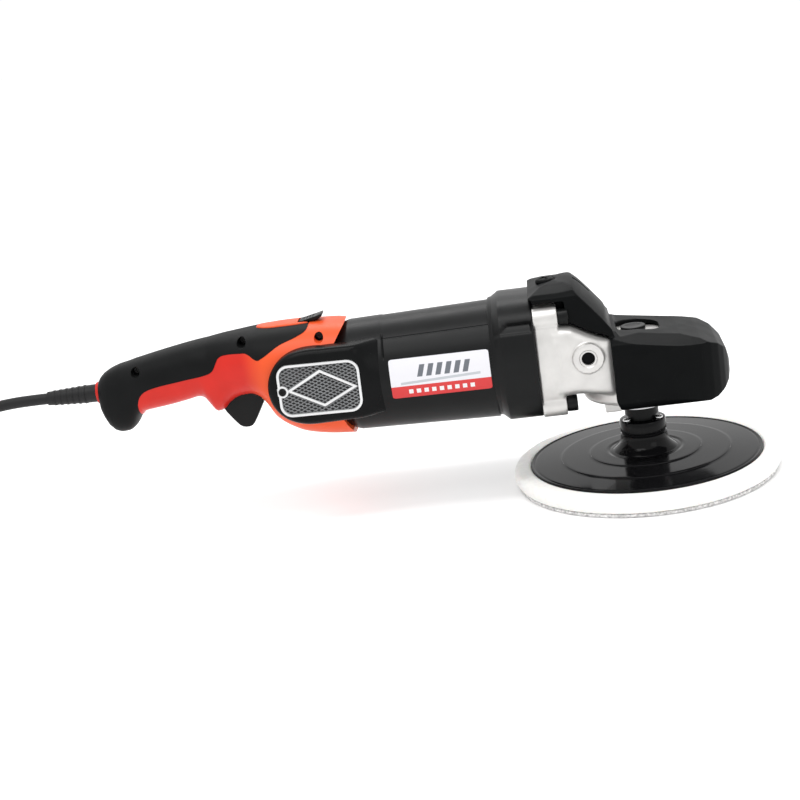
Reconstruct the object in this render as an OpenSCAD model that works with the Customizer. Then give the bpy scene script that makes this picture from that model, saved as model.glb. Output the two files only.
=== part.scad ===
// Rotary polisher: right-angle gear head, universal motor in a barrel housing,
// D-shaped tail handle with a trigger, and a 176 mm foam pad on a 152 mm plate.
// Origin: centre of the pad's working face. +Z runs up the spindle, +X to the nose.

/* [Pad] */
// Radius of the foam pad
pad_r = 88; // [84:1:90]
// Radius of the backing plate
plate_r = 76; // [72:1:78]
// Height of the plate's rim above the working face
plate_z = 11.5; // [11:0.5:12.5]

/* [Gear head] */
// Height of the motor axis above the working face
motor_z = 90; // [88:1:92]
// Outer radius of the gear pot
pot_r = 36; // [35.5:0.5:36]
// Half-width of the hood over the gear head
hood_w = 40; // [40:0.5:41]
// Teeth on the crown gear
crown_teeth = 40; // [40:10:40]
// Teeth on the pinion
pinion_teeth = 10; // [10:10:10]
// Radius of the side-handle hole
handle_hole_r = 4.25; // [4:0.25:5]

/* [Motor] */
// Outer radius of the barrel at its front
barrel_front_r = 38.5; // [38:0.5:39.5]
// Outer radius of the barrel where the tail begins
barrel_rear_r = 36.4; // [36:0.2:37]
// Radius of the field core
field_r = 33.6; // [33:0.2:34]
// Radius of the armature core
armature_r = 18.8; // [18:0.2:19]
// Blades on the cooling fan
fan_blades = 12; // [8:1:16]

/* [Tail] */
// Wall of the tail shells
shell_wall = 2.6; // [2:0.2:3]
// Thickness of the soft overmould
skin = 1.6; // [1.2:0.2:2]
// Travel of the spindle-lock button
lock_travel = 3; // [2:0.5:3]

/* [Cord] */
// Diameter of the mains cord
cord_d = 7.5; // [7:0.5:8]
// Mean radius of the stored coil
coil_r = 42; // [40:1:45]

/* [Hidden] */
$fn = 64;

black = "#26272a";
rubber_black = "#1c1d1f";
tail_red = "#d2402a";
alu = "#d9d8d4";
steel = "#a9adb3";
copper = "#b5682f";
brass = "#c8a24a";

run_gap = 0.03;                 // radial clearance of a shaft in its bearing
// Stations along the motor axis
barrel_x = [-228, -181, -91];   // back end, shoulder, front face
collar_x = [-91, -63];          // front collar
flange_x = [-63, -48];          // flange of the gear housing
front_bearing_x = -48;
rear_bearing_x = -226;
core_x = [-165, -115];          // field and armature cores
brush_x = -189;                 // carbon brushes and their windows
lug = 28.5;                     // flange screws, across from the motor axis
// Gear head
pot_z = [62, 96];
hood_back_x = -16.5;
crown_r = 28;
crown_z = 74;
pinion_x = [-28, -19];          // big end and small end
tooth_tip_r = 7.4;
root_r = 5.3;                   // pinion's root at its big end
slot_w = 2.4;                   // gap between crown teeth
slot_tilt = atan(2.5 / 9);      // the gaps' floors rise towards the spindle
// Side handle holes and the button
handle_x = -31.2;
handle_z = 92;
boss_y = [24, 40];
button_r = 8;
recess_z = 94;                  // floor of the button's recess
spindle_top_z = 92.4;
seal_r = 11;                    // dust seal in the mouth of the hood
// Tail: position of the recessed screws
screw_at = [[-326, 112], [-253, 122], [-202.5, 122]];
cord_z = 98;                    // height of the cord's exit
cord_exit_x = -391;
clamp_screw_y = 7.2;
coil_at = [-535, 33];
coil_base = 1;                  // the tie's lower strap lies under the coil
coil_rows = 3;
coil_layers = 4;

// ------------------------------------------------------------------ helpers
// Places its children on the motor axis, with their Z along +X.
module on_motor_axis(x = 0) translate([x, 0, motor_z]) rotate([0, 90, 0]) children();

// A ring or disc on the motor axis.
module motor_ring(x, len, r, bore = 0) on_motor_axis(x) difference() {
    cylinder(h = len, r = r);
    if (bore > 0) translate([0, 0, -1]) cylinder(h = len + 2, r = bore);
}

// A ring on the spindle axis.
module spindle_ring(z, len, r, bore = 0) translate([0, 0, z]) difference() {
    cylinder(h = len, r = r);
    if (bore > 0) translate([0, 0, -1]) cylinder(h = len + 2, r = bore);
}

// An outline in X and Z, pulled out to both sides of the centre plane.
module side_plate(points, half) translate([0, half, 0]) rotate([90, 0, 0])
    linear_extrude(2 * half) polygon(points);

// A ball bearing: two rings and a shielded gap.
module bearing(r_in, r_out, width) {
    shield = 0.6;
    race = (r_out - r_in) * 0.28;
    rotate_extrude() polygon([
        [r_in, 0], [r_in + race, 0], [r_in + race, shield], [r_out - race, shield],
        [r_out - race, 0], [r_out, 0], [r_out, width], [r_out - race, width],
        [r_out - race, width - shield], [r_in + race, width - shield],
        [r_in + race, width], [r_in, width]]);
}

// A socket-head screw along -Z, its head's underside at the origin.
module screw(r, length, head_r, head_h) {
    translate([0, 0, -length]) cylinder(h = length, r = r);
    difference() {
        cylinder(h = head_h, r = head_r);
        translate([0, 0, head_h * 0.45]) cylinder(h = head_h, r = head_r * 0.5, $fn = 6);
    }
}

// ------------------------------------------------------------------ tail loft
// Each station: x, top, bottom, half-width, half-gap at the top, half-gap at the bottom,
// and the angle at which the overmould ends (90 is the top, -90 the bottom).
TAIL = [
    [-353.6, 107, 84, 11, 0, 0, -80], [-352.2, 109, 79.6, 13.5, 0, 0, -80],
    [-350, 111, 75.2, 15.5, 0, 0, -80], [-346.8, 112.8, 72, 17.5, 0, 0, -80],
    [-342.2, 114.6, 70.6, 18.8, 0, 0, -80], [-337, 116, 71, 19.4, 0, 0, -80],
    [-332, 117, 74.8, 19.8, 0, 0, -80], [-329, 117.6, 81, 20, 0, 0, -78],
    [-326, 118.2, 83, 20, 0, 0, -8], [-318, 119.8, 84, 20, 0, 0, 4],
    [-306, 122, 85.4, 20, 0, 0, 2], [-294, 124, 87.4, 20.4, 0, 0, 2],
    [-286, 125, 88.6, 21, 0, 0, 3], [-281, 125.6, 84, 21.6, 0, 0, 6],
    [-277, 126.2, 78.5, 22.2, 0, 7.5, 12], [-274, 126.7, 77, 22.8, 0, 7.5, 24],
    [-267, 127.6, 79.8, 24, 0, 7.5, 44], [-259, 128.3, 82.8, 25.6, 0, 7.5, 46],
    [-252, 128.9, 83, 27.2, 0, 7.5, 44], [-244, 129.5, 80, 29.6, 0, 7.5, 36],
    [-241, 129.8, 77, 30.6, 0, 0, 50], [-236, 130.2, 69, 32, 0, 0, 62],
    [-226, 130.8, 61, 33.4, 0, 0, 74], [-219, 131, 57.5, 34, 0, 0, 80],
    [-218, 131, 57.2, 34, 3.4, 0, 80.5], [-200, 131, 53.6, 34.2, 3.4, 0, 82],
    [-190, 130.6, 52.8, 34.4, 3.4, 0, 82], [-189, 130.5, 52.7, 34.4, 0, 0, 83],
    [-181, 129.6, 52.2, 34.4, 0, 0, 84]];
tail_power = 2.5;               // roundness of the tail's section
arc_top = 6;                    // steps from the top to the overmould's edge
arc_side = 7;                   // steps from there to the bottom
skin_last = 21;                 // last station under the overmould

function bent(v) = sign(v) * pow(abs(v), 2 / tail_power);
// Angle on a section of half-width w where it is g away from the centre plane
function gap_angle(g, w) = 90 - asin(pow(g / w, tail_power / 2));
// Point on the section of station s, pushed inwards by t
function section(s, a, t) = [
    s[0], -(s[3] - t) * bent(cos(a)),
    (s[1] + s[2]) / 2 + ((s[1] - s[2]) / 2 - t) * bent(sin(a))];
function top_angle(s) = gap_angle(s[4], s[3]);
function low_angle(s) = -gap_angle(s[5], s[3]);
function upper_arc(s, t) = [for (k = [0:arc_top])
    section(s, top_angle(s) + (s[6] - top_angle(s)) * k / arc_top, t)];
function lower_arc(s, t) = [for (k = [0:arc_side])
    section(s, s[6] + (low_angle(s) - s[6]) * k / arc_side, t)];
function turned(list) = [for (k = [len(list) - 1:-1:0]) list[k]];
// Round hole for the cord boot at the very end of the shell
function boot_hole(s) = [for (k = [0:arc_top + arc_side + 1])
    let (a = 90 - 180 * k / (arc_top + arc_side + 1))
    [s[0], -6.8 * cos(a), cord_z + 6.8 * sin(a)]];
// Depth of the shell under the overmould; further forward only a fine parting step
function covered(i) = i <= skin_last ? skin : 0.05;
function shell_ring(i) = let (s = TAIL[i]) concat(
    upper_arc(s, covered(i)), lower_arc(s, 0),
    turned(i == 0 ? boot_hole(s)
        : concat(upper_arc(s, covered(i) + shell_wall), lower_arc(s, shell_wall))));
function skin_ring(i) = let (s = TAIL[i])
    concat(upper_arc(s, 0), turned(upper_arc(s, skin - 0.1)));

// Closed solid through rings of equal, even length, in order; its ends are strips from
// one half of the ring to the other
module loft(rings) {
    n = len(rings[0]);
    last = len(rings) - 1;
    polyhedron(
        points = [for (r = rings) each r],
        faces = concat(
            [for (k = [0:n / 2 - 2]) [k, k + 1, n - 2 - k, n - 1 - k]],
            [for (i = [0:last - 1]) for (k = [0:n - 1])
                [i * n + k, (i + 1) * n + (k + 1) % n, i * n + (k + 1) % n]],
            [for (i = [0:last - 1]) for (k = [0:n - 1])
                [i * n + k, (i + 1) * n + k, (i + 1) * n + (k + 1) % n]],
            [for (k = [0:n / 2 - 2]) [for (m = [n - 1 - k, n - 2 - k, k + 1, k]) last * n + m]]));
}

// ------------------------------------------------------------------ gear head
module screw_square(x, half, z0) for (y = [-half, half], z = [-half, half])
    translate([x, y, z0 + z]) rotate([0, 90, 0]) children();

THROAT = [[-49, 113.5], [-40, 112.5], [-30, 106.5], [-18, 101.5], [-17, 96], [0, 96],
    [0, 63], [-24, 63], [-36, 66], [-38, 69], [-49, 69]];

module gear_housing() color(alu) {
    difference() {
        union() {
            intersection() {
                motor_ring(flange_x[0], flange_x[1] - flange_x[0], 46);
                translate([-100, -38, motor_z - 38]) cube([100, 76, 76]);
            }
            intersection() {
                side_plate(THROAT, 33);
                translate([-80, -33, 60]) cube([80, 66, 60]);
            }
            rotate_extrude() polygon([[0, pot_z[0]], [pot_r, pot_z[0]], [pot_r, 90.8],
                [29, 93.2], [19, pot_z[1]], [0, pot_z[1]]]);
            for (s = [-1, 1]) translate([handle_x, s * 30, handle_z]) rotate([-90 * s, 0, 0])
                cylinder(h = boss_y[1] - 30, r = 9.5);
        }
        translate([0, 0, pot_z[0] - 1]) cylinder(h = 31, r = 32);
        on_motor_axis(flange_x[0] - 1) cylinder(h = 12, r = 31);
        on_motor_axis(-60) cylinder(h = 20, r = 14);
        on_motor_axis(-41) cylinder(h = 23.5, r = 8.6);
        for (s = [-1, 1]) translate([handle_x, s * boss_y[0], handle_z]) rotate([-90 * s, 0, 0])
            cylinder(h = 20, r = handle_hole_r);
        screw_square(flange_x[0] - 1, lug, motor_z) cylinder(h = 20, r = 2.5);
        translate([0, 0, recess_z]) cylinder(h = 10, r = button_r + 0.6);
        translate([0, 0, 90]) cylinder(h = 10, r = 5.2);
        translate([-53, 0, 116]) cylinder(h = 20, r = 2);
        cover_bolts() cylinder(h = 14, r = 2);
    }
    // roof boss round the upper bearing
    difference() {
        spindle_ring(84.8, 7.2, 13.5, 11);
        translate([0, 0, 84]) cylinder(h = 6.8, r = 11);
    }
    // columns for the cover's bolts
    difference() {
        cover_bolts() cylinder(h = 12, r = 3.4);
        cover_bolts() translate([0, 0, -1]) cylinder(h = 16, r = 2);
        translate([0, 0, 60]) cylinder(h = 20, r = 29.4);
    }
}
module cover_bolts() for (a = [45:90:315]) rotate(a) translate([31.5, 0, pot_z[0]]) children();

module gear_cover() color(alu) difference() {
    union() {
        spindle_ring(57, 5, pot_r - 1);
        spindle_ring(47, 10.5, 18.8);
        translate([-38, -14, 57]) cube([14, 28, 5]);
    }
    translate([0, 0, 48]) cylinder(h = 20, r = 16);
    translate([0, 0, 40]) cylinder(h = 20, r = 12);
    cover_bolts() translate([0, 0, -10]) cylinder(h = 14, r = 2);
    cover_bolts() translate([0, 0, -6]) cylinder(h = 3, r = 2.9);
}
module gear_cover_screws() color(steel) cover_bolts() translate([0, 0, -3]) mirror([0, 0, 1])
    screw(2, 12, 2.8, 1.8);
module lower_bearing() color(steel) translate([0, 0, 48]) bearing(7.5, 16, 9);
module upper_bearing() color(steel) translate([0, 0, 84.8]) bearing(5, 11, 6);
module dust_seal() color(rubber_black) spindle_ring(41.2, 5.7, seal_r, 9.7);

// The hood: three outlines, seen from the side, from the front and from above, cut
// out of each other, and the same again for the hollow.
HOOD_SIDE = [[-16.5, 101.5], [5, 101], [24, 98.4], [40, 94], [50.5, 89], [56, 83.5], [59, 71],
    [58.4, 66], [56.5, 61.5], [53, 58], [48, 55.2], [40, 53.4], [30, 53], [-13.5, 53],
    [-14.5, 56], [-16.5, 62]];
HOLLOW_SIDE = [[-20, 98.5], [5, 98], [22, 95.9], [38, 91.6], [48.5, 87], [53.4, 82], [56, 70.6],
    [55.6, 66.6], [54, 63], [51, 60.2], [46.5, 57.6], [39, 56.2], [-20, 56.2]];
HOOD_FRONT = [[30, 53], [36, 55], [39, 57.5], [40, 60], [40, 91], [38.6, 98], [33, 102]];
HOLLOW_FRONT = [[30, 56], [35.6, 56.6], [37.4, 60], [37.4, 91.6], [36, 96.2], [32, 98.5]];
// The bowl under the hood, down to the spindle
BOWL = [[0, 41], [12.6, 41], [16.5, 42.6], [21.5, 46.5], [24.5, 50], [26, 54], [0, 54]];
module across(half) rotate([90, 0, 90]) translate([0, 0, -20]) linear_extrude(90)
    polygon(concat(half, [for (k = [len(half) - 1:-1:0]) [-half[k][0], half[k][1]]]));
module nose_plan(inset) linear_extrude(160) polygon(concat(
    [[-30, -(hood_w - inset)]],
    [for (a = [-90:10:90]) [14 + (44.8 - inset) * pow(cos(a), 0.8),
        (hood_w - inset) * sign(a) * pow(abs(sin(a)), 0.8)]],
    [[-30, hood_w - inset]]));
ARM = [[-62.8, 128.3], [-62.8, 131.7], [-65, 131.7], [-65, 132.3], [-61.4, 134], [-56, 136.5],
    [-48, 137.8], [-42.5, 137], [-38, 134.8], [-33, 130.2], [-27, 123], [-21, 115.4],
    [-15, 107.6], [-10, 101], [-14, 99], [-16.3, 102.2], [-18, 102.9], [-30, 107.9],
    [-40, 113.9], [-42.5, 114.6], [-42.5, 128.3]];
module head_cover() color(black) difference() {
    union() {
        intersection() {
            side_plate(HOOD_SIDE, 50);
            across(HOOD_FRONT);
            nose_plan(0);
        }
        intersection() {
            rotate_extrude() polygon(BOWL);
            translate([-13.5, -30, 40]) cube([60, 60, 20]);
        }
        intersection() {
            side_plate(ARM, 31);
            translate([-50, 0, 0]) across([[30.5, 90], [30.5, 131], [27, 133.5], [14, 137], [4, 138]]);
        }
    }
    intersection() {
        side_plate(HOLLOW_SIDE, 50);
        across(HOLLOW_FRONT);
        nose_plan(2.6);
    }
    translate([0, 0, 30]) cylinder(h = 20, r = seal_r);
    translate([0, 0, 46.9]) cylinder(h = 12, r = 19.2);
    // oval window over the button
    translate([2.75, 0, 90]) linear_extrude(20) offset(r = 9) square([9.5, 9], center = true);
    translate([-53, 0, 120]) cylinder(h = 30, r = 2);
    translate([-53, 0, 135.4]) cylinder(h = 10, r = 6.6);
}
module cover_screw() color(black) translate([-53, 0, 135.4]) screw(2, 18, 6.5, 3);
module flange_screws() color(steel) screw_square(flange_x[1], lug, motor_z) screw(2.5, 26, 4.2, 4.5);
module front_bearing() color(steel) on_motor_axis(front_bearing_x) bearing(6, 14, 8);

// ------------------------------------------------------------------ motor
module motor_housing() color(black) difference() {
    on_motor_axis() rotate_extrude() polygon([
        [24, barrel_x[0]], [24, -222], [30, -214], [30, barrel_x[1]], [barrel_rear_r, barrel_x[1]],
        [barrel_front_r, barrel_x[2]], [field_r, barrel_x[2]], [field_r, barrel_x[1] + 3],
        [27, barrel_x[1] - 3], [27, -212], [20, -218], [16, -218], [16, -219], [12.5, -219],
        [12.5, barrel_x[0]]]);
    // windows for the brushes
    for (s = [-1, 1]) translate([brush_x - 6, s * 30 - 6, motor_z - 6])
        cube([12, 12, 12]);
    // air holes in the back wall
    for (a = [30:60:330]) on_motor_axis(-230) rotate(a) translate([19.5, 0, 0])
        cylinder(h = 16, r = 3);
}
module front_collar() color(black) difference() {
    intersection() {
        on_motor_axis() rotate_extrude() polygon([[34, collar_x[0]], [39, collar_x[0]],
            [45, collar_x[0] + 6], [45, collar_x[1]], [34, collar_x[1]]]);
        translate([-100, -41.5, motor_z - 41.5]) cube([100, 83, 83]);
    }
    screw_square(flange_x[1] - 26, lug, motor_z) cylinder(h = 26, r = 2.5);
    // shallow pockets on both flanks
    for (s = [-1, 1]) translate([-84, s * 41.5 - 1.5, motor_z + 16]) cube([30, 3, 14]);
}
module field_core() color(steel) on_motor_axis(core_x[0]) difference() {
    cylinder(h = core_x[1] - core_x[0], r = field_r);
    translate([0, 0, -1]) cylinder(h = 80, r = armature_r + 0.7);
    for (s = [-1, 1]) translate([s * 22, 0, 30]) cube([12.4, 32, 90], center = true);
}
module field_coils() color(copper) for (s = [-1, 1]) {
    translate([(core_x[0] + core_x[1]) / 2, 0, motor_z + s * 24.2]) difference() {
        cube([core_x[1] - core_x[0] + 14, 29, 7], center = true);
        cube([core_x[1] - core_x[0] + 2, 10, 8], center = true);
    }
}
module rear_bearing() color(steel) on_motor_axis(rear_bearing_x) bearing(4, 11, 7);
module rear_bearing_sleeve() color(rubber_black) motor_ring(rear_bearing_x, 7, 12.5, 11);
module brush_holders() color(brass) for (s = [-1, 1]) translate([brush_x, s * 22, motor_z])
    difference() {
        cube([11, 16, 9], center = true);
        cube([8.6, 20, 6.6], center = true);
    }
module carbon_brushes() color("#333333") for (s = [-1, 1]) translate([brush_x, s * 20, motor_z])
    cube([8.6, 15.6, 6.6], center = true);

// ------------------------------------------------------------------ armature
module armature_shaft() color(steel) on_motor_axis() rotate_extrude() polygon([
    [0, -229], [4 - run_gap, -229], [4 - run_gap, -218.5], [5, -218.5], [5, -49],
    [6 - run_gap, -49], [6 - run_gap, -39.6], [3, -39.6], [3, -18.4], [0, -18.4]]);
module armature_core() color(steel) on_motor_axis(core_x[0]) linear_extrude(50) difference() {
    circle(r = armature_r);
    circle(r = 5);
    for (a = [0:30:330]) rotate(a) {
        translate([14.4, 0]) circle(r = 2.3);
        translate([14.4, -0.8]) square([6, 1.6]);
    }
}
module armature_windings() color(copper) on_motor_axis() {
    for (x = [core_x[0] - 9, core_x[1]]) translate([0, 0, x]) rotate_extrude()
        polygon([[5, 0], [13, 0], [16.4, 2.5], [16.4, 6.5], [13, 9], [5, 9]]);
    for (a = [0:30:330]) rotate(a) translate([14.4, 0, core_x[0]]) cylinder(h = 50, r = 2.3);
}
module commutator() color(copper) on_motor_axis(-196) linear_extrude(18) difference() {
    circle(r = 12);
    circle(r = 5);
    for (a = [0:15:345]) rotate(a) translate([11.2, -0.3]) square([2, 0.6]);
}
module cooling_fan() color("#3a3b3e") on_motor_axis(-84) difference() {
    union() {
        cylinder(h = 2, r = 31);
        cylinder(h = 14, r = 9);
        for (k = [0:fan_blades - 1]) rotate(k * 360 / fan_blades) translate([8, -0.9, 1])
            cube([22, 1.8, 12]);
    }
    translate([0, 0, -1]) cylinder(h = 20, r = 5);
}
// One pinion tooth: a wedge that narrows towards the point where the axes cross
module pinion_tooth() {
    size = [for (x = pinion_x) x / pinion_x[0]];
    half = [for (k = size) for (p = [[root_r - 0.6, -0.95], [root_r - 0.6, 0.95],
        [tooth_tip_r, 0.45], [tooth_tip_r, -0.45]]) [p[0] * k, p[1] * k]];
    polyhedron(points = [for (i = [0:7]) [half[i][0], half[i][1], pinion_x[i < 4 ? 0 : 1]]],
        faces = [[3, 2, 1, 0], [4, 5, 6, 7], [0, 1, 5, 4], [1, 2, 6, 5], [2, 3, 7, 6],
            [3, 0, 4, 7]]);
}
module pinion() color(steel) on_motor_axis() {
    rotate_extrude() polygon([[3, pinion_x[0]], [root_r, pinion_x[0]],
        [root_r * pinion_x[1] / pinion_x[0], pinion_x[1]], [3, pinion_x[1]]]);
    for (k = [0:pinion_teeth - 1]) rotate(k * 360 / pinion_teeth) pinion_tooth();
}

// ------------------------------------------------------------------ spindle group
module spindle() color(steel) difference() {
    rotate_extrude() polygon([[0, 20], [6.9, 20], [6.9, 38], [9.25, 38], [9.25, 47.8],
        [7.5 - run_gap, 47.8], [7.5 - run_gap, 64], [9, 64], [9, 84], [6.5, 84],
        [6.5, 84.6], [5 - run_gap, 84.6], [5 - run_gap, spindle_top_z], [0, spindle_top_z]]);
    for (a = [0, 90]) rotate(a) translate([-6, -1.5, spindle_top_z - 3]) cube([12, 3, 6]);
}
module crown_gear() color(steel) difference() {
    rotate_extrude() polygon([[9, crown_z], [crown_r, crown_z], [crown_r, 84],
        [18.5, 86.4], [17.5, 80], [9, 80]]);
    for (k = [0:crown_teeth - 1]) rotate(k * 360 / crown_teeth)
        translate([crown_r, 0, motor_z - tooth_tip_r - 0.5]) rotate([0, slot_tilt, 0])
            translate([-14, -slot_w / 2, 0]) cube([18, slot_w, 6]);
}
module backing_hub() color(black) rotate_extrude() polygon([[6.9, 14.5], [22.5, 14.5],
    [20.5, 18.6], [16.6, 21.5], [15.2, 25], [15, 38], [6.9, 38]]);
module hub_screws() color("#e8e8e6") for (a = [90:120:330]) rotate(a) translate([12, 0, 38])
    screw(0.1, 0.05, 2.6, 2);
module backing_plate() color(black) rotate_extrude() polygon([[0, plate_z], [plate_r, plate_z],
    [plate_r, 13.6], [73.5, 14.2], [55.5, 15], [55.2, 15.6], [36.5, 16.4], [36.2, 17],
    [23, 17.4], [23, 14.5], [0, 14.5]]);
module foam_pad() color("#f0eee8") rotate_extrude() polygon([[0, 2], [84.5, 2], [87, 4.4],
    [pad_r, 8], [87.6, 11], [86, 12.8], [83.5, 13.4], [78, 13.4], [76.4, 12.6],
    [76.4, plate_z], [0, plate_z]]);
module hook_layer() color("#8d8f92") spindle_ring(0, 2, 85);

// ------------------------------------------------------------------ tail
module tail_shell_right() color(tail_red) loft([for (i = [0:len(TAIL) - 1]) shell_ring(i)]);
module tail_shell_left() mirror([0, 1, 0]) tail_shell_right();
module grip_overmould_right() color(rubber_black) loft([for (i = [0:skin_last]) skin_ring(i)]);
module grip_overmould_left() mirror([0, 1, 0]) grip_overmould_right();

// Outline of the side pod: a round back, blending into the barrel
pod_c = [-206, 96];
POD = concat([for (a = [80:12:272]) [pod_c[0] + 30 * sign(cos(a)) * pow(abs(cos(a)), 0.8),
    pod_c[1] + 27 * sin(a)]], [[-162, 69.5], [-162, 121]]);
pod_y = [34.6, 40.5];
module rounded_plate(size, r, h) linear_extrude(h) {
    square([size[0] - 2 * r, size[1]], center = true);
    square([size[0], size[1] - 2 * r], center = true);
    for (x = [-1, 1], y = [-1, 1])
        translate([x * (size[0] / 2 - r), y * (size[1] / 2 - r)]) circle(r = r);
}
grille_at = [-202.7, 93.1];
module at_grille(side, y) translate([grille_at[0], side * y, grille_at[1]])
    rotate([90 * -side, 0, 0]) children();
module side_pod(side) color(black) difference() {
    translate([0, side > 0 ? pod_y[1] : -pod_y[0], 0]) rotate([90, 0, 0])
        linear_extrude(pod_y[1] - pod_y[0]) polygon(POD);
    on_motor_axis(-240) cylinder(h = 90, r = barrel_front_r - 1.6);
    at_grille(side, 30) rounded_plate([54, 35], 8, 20);
}
module side_pod_left() side_pod(1);
module side_pod_right() side_pod(-1);
module vent_grille(side) color("#c9cacc") at_grille(side, 38.5) difference() {
    rounded_plate([54, 35], 8, 2);
    for (x = [-5:5], y = [-3:3]) if (abs(x) < 5 || abs(y) < 2)
        translate([x * 4.5, y * 4.4, -1]) rotate(25) translate([-1.5, -0.7, 0]) cube([3, 1.4, 4]);
}
module vent_grille_left() vent_grille(1);
module vent_grille_right() vent_grille(-1);
module grille_screws() color(black) for (s = [-1, 1]) translate([-227.3, s * 40.5, grille_at[1]])
    rotate([-90 * s, 0, 0]) screw(0.1, 0.05, 2.2, 1);
module handle_screws() color("#2b2b2b") for (p = screw_at) translate([p[0], 0, p[1]]) {
    half = section_half(p[0]) - 7;
    for (s = [-1, 1]) translate([0, s * half, 0]) rotate([-90 * s, 0, 0])
        screw(1.5, half - 0.2, 2.9, 2);
}
function section_half(x) = lookup(x, [for (s = TAIL) [s[0], s[3] * 0.86]]);
module label() color("white") on_motor_axis() intersection() {
    rotate_extrude() polygon([[37.06, -157], [37.4, -157], [38.9, -93], [38.56, -93]]);
    translate([-15, -60, -160]) cube([25, 60, 70]);
}
module switch_body() color("#333333") translate([-284, -9, 97]) cube([34, 18, 20]);
module speed_module() color("#1f6b3a") translate([-245, -14, 84]) cube([13, 28, 34]);
module capacitor() color("#c7a13a") translate([-300, -8, 98]) cube([13, 16, 14]);
module cord_clamp() color("#333333") difference() {
    translate([-343, -10.3, 101.9]) cube([10, 20.6, 4]);
    for (s = [-1, 1]) translate([-338, s * clamp_screw_y, 95]) cylinder(h = 20, r = 1.5);
}
module clamp_screws() color(steel) for (s = [-1, 1]) translate([-338, s * clamp_screw_y, 105.9])
    screw(1.5, 9, 2.6, 1.8);
module cord_boot() color(rubber_black) translate([0, 0, cord_z]) rotate([0, 90, 0])
    rotate_extrude() polygon([[0, cord_exit_x], [4.6, cord_exit_x], [6.2, -362], [6.2, -347.4],
        [8, -347.4], [8, -343.6], [3.75, -343.6], [3.75, -332], [0, -332]]);
module boot_ring() color(tail_red) translate([0, 0, cord_z]) rotate([0, 90, 0])
    rotate_extrude() polygon([[6.2, -356.6], [7.2, -356.6], [7.5, -353.7], [6.2, -353.7]]);
module trigger_pin() color(steel) translate([-250, 9, 91]) rotate([90, 0, 0]) cylinder(h = 18, r = 2);
module trigger() color(black) difference() {
    side_plate([[-273.4, 78.5], [-271, 70], [-266.7, 64.4], [-263, 63], [-258.6, 63.5],
        [-254, 66], [-248.7, 74.2], [-245.2, 82], [-245.5, 92], [-248, 95.5], [-254, 95.5],
        [-270, 88], [-273.4, 84]], 6.5);
    translate([-250, 20, 91]) rotate([90, 0, 0]) cylinder(h = 40, r = 2.05);
}
module lock_button() color(black) {
    translate([0, 0, 97.2]) cylinder(h = 3.2, r = button_r);
    translate([0, 0, 95.9]) cylinder(h = 1.4, r = 4.7);
}
module lock_tang() color(steel) translate([-4, -1.3, 92.9]) cube([8, 2.6, 3]);
module lock_spring() color(steel) spindle_ring(recess_z + 0.1, 3, 6.8, 5.6);
module lock_slider() color(black) {
    side_plate([[-214.5, 131.3], [-213.5, 132.4], [-201.5, 135.6], [-198.6, 134.8],
        [-199.5, 131.3]], 6);
    side_plate([[-211, 125], [-211, 132], [-204, 132], [-204, 125]], 2.8);
}

// ------------------------------------------------------------------ mains cord
// Lead from the boot down to the floor, and the tail from the coil to the plug
LEAD = [[-391, 0, 98], [-402, 0, 98], [-415, 0, 97.6], [-429, 0, 96], [-443, -0.5, 91.5],
    [-456, -1.5, 83], [-466, -3, 71.5], [-473, -4.5, 58], [-479, -6.5, 43.5],
    [-486, -9, 29], [-495, -11.5, 16.5], [-506, -14, 8], [-520, -16, 4.6]];
TAIL_END = [[-499, 10, 27], [-507, 0, 26], [-516, -9, 22.5], [-525, -18, 17.5],
    [-534, -26, 12.8], [-543, -34, 10.4], [-552, -42, 10]];
function minus(a, b) = [a[0] - b[0], a[1] - b[1], a[2] - b[2]];
function unit(v) = v / norm(v);
function along(path, i) = unit(minus(path[min(i + 1, len(path) - 1)], path[max(i - 1, 0)]));
function tube_ring(path, i, r) = let (t = along(path, i), u = unit(cross(t, [0.3, 1, 0])),
    v = cross(t, u)) [for (k = [0:9]) path[i] + r * (cos(36 * k) * u + sin(36 * k) * v)];
module tube(path, r) loft([for (i = [0:len(path) - 1]) tube_ring(path, i, r)]);
module cord() color(rubber_black) {
    tube(LEAD, cord_d / 2);
    tube(TAIL_END, cord_d / 2);
}
coil_in = coil_r - coil_rows * cord_d / 2;
coil_out = coil_r + coil_rows * cord_d / 2;
module cord_coil() color(rubber_black) translate([coil_at[0], coil_at[1], coil_base])
    difference() {
        cylinder(h = coil_layers * cord_d, r = coil_out);
        translate([0, 0, -1]) cylinder(h = 60, r = coil_in);
    }
module cord_tie() color("#3c3c3c") translate([coil_at[0] - coil_r, coil_at[1], 0]) {
    wide = coil_out - coil_in;
    difference() {
        translate([-wide / 2 - 1.6, -4, 0]) cube([wide + 3.2, 8, coil_layers * cord_d + 2]);
        translate([-wide / 2 - 0.6, -5, 1]) cube([wide + 1.2, 10, coil_layers * cord_d]);
    }
}
module on_plug() translate([-552, -42, 10]) rotate([0, 0, 221.6]) rotate([0, 90, 0]) children();
module plug_body() color(rubber_black) on_plug() {
    rotate_extrude() polygon([[0, 0], [4.6, 0], [6, 10], [9.6, 17], [10, 33], [9, 36], [0, 36]]);
}
module plug_pins() color(brass) on_plug() for (s = [-1, 1]) translate([0, s * 5, 36])
    cylinder(h = 14, r = 2.4);

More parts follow.
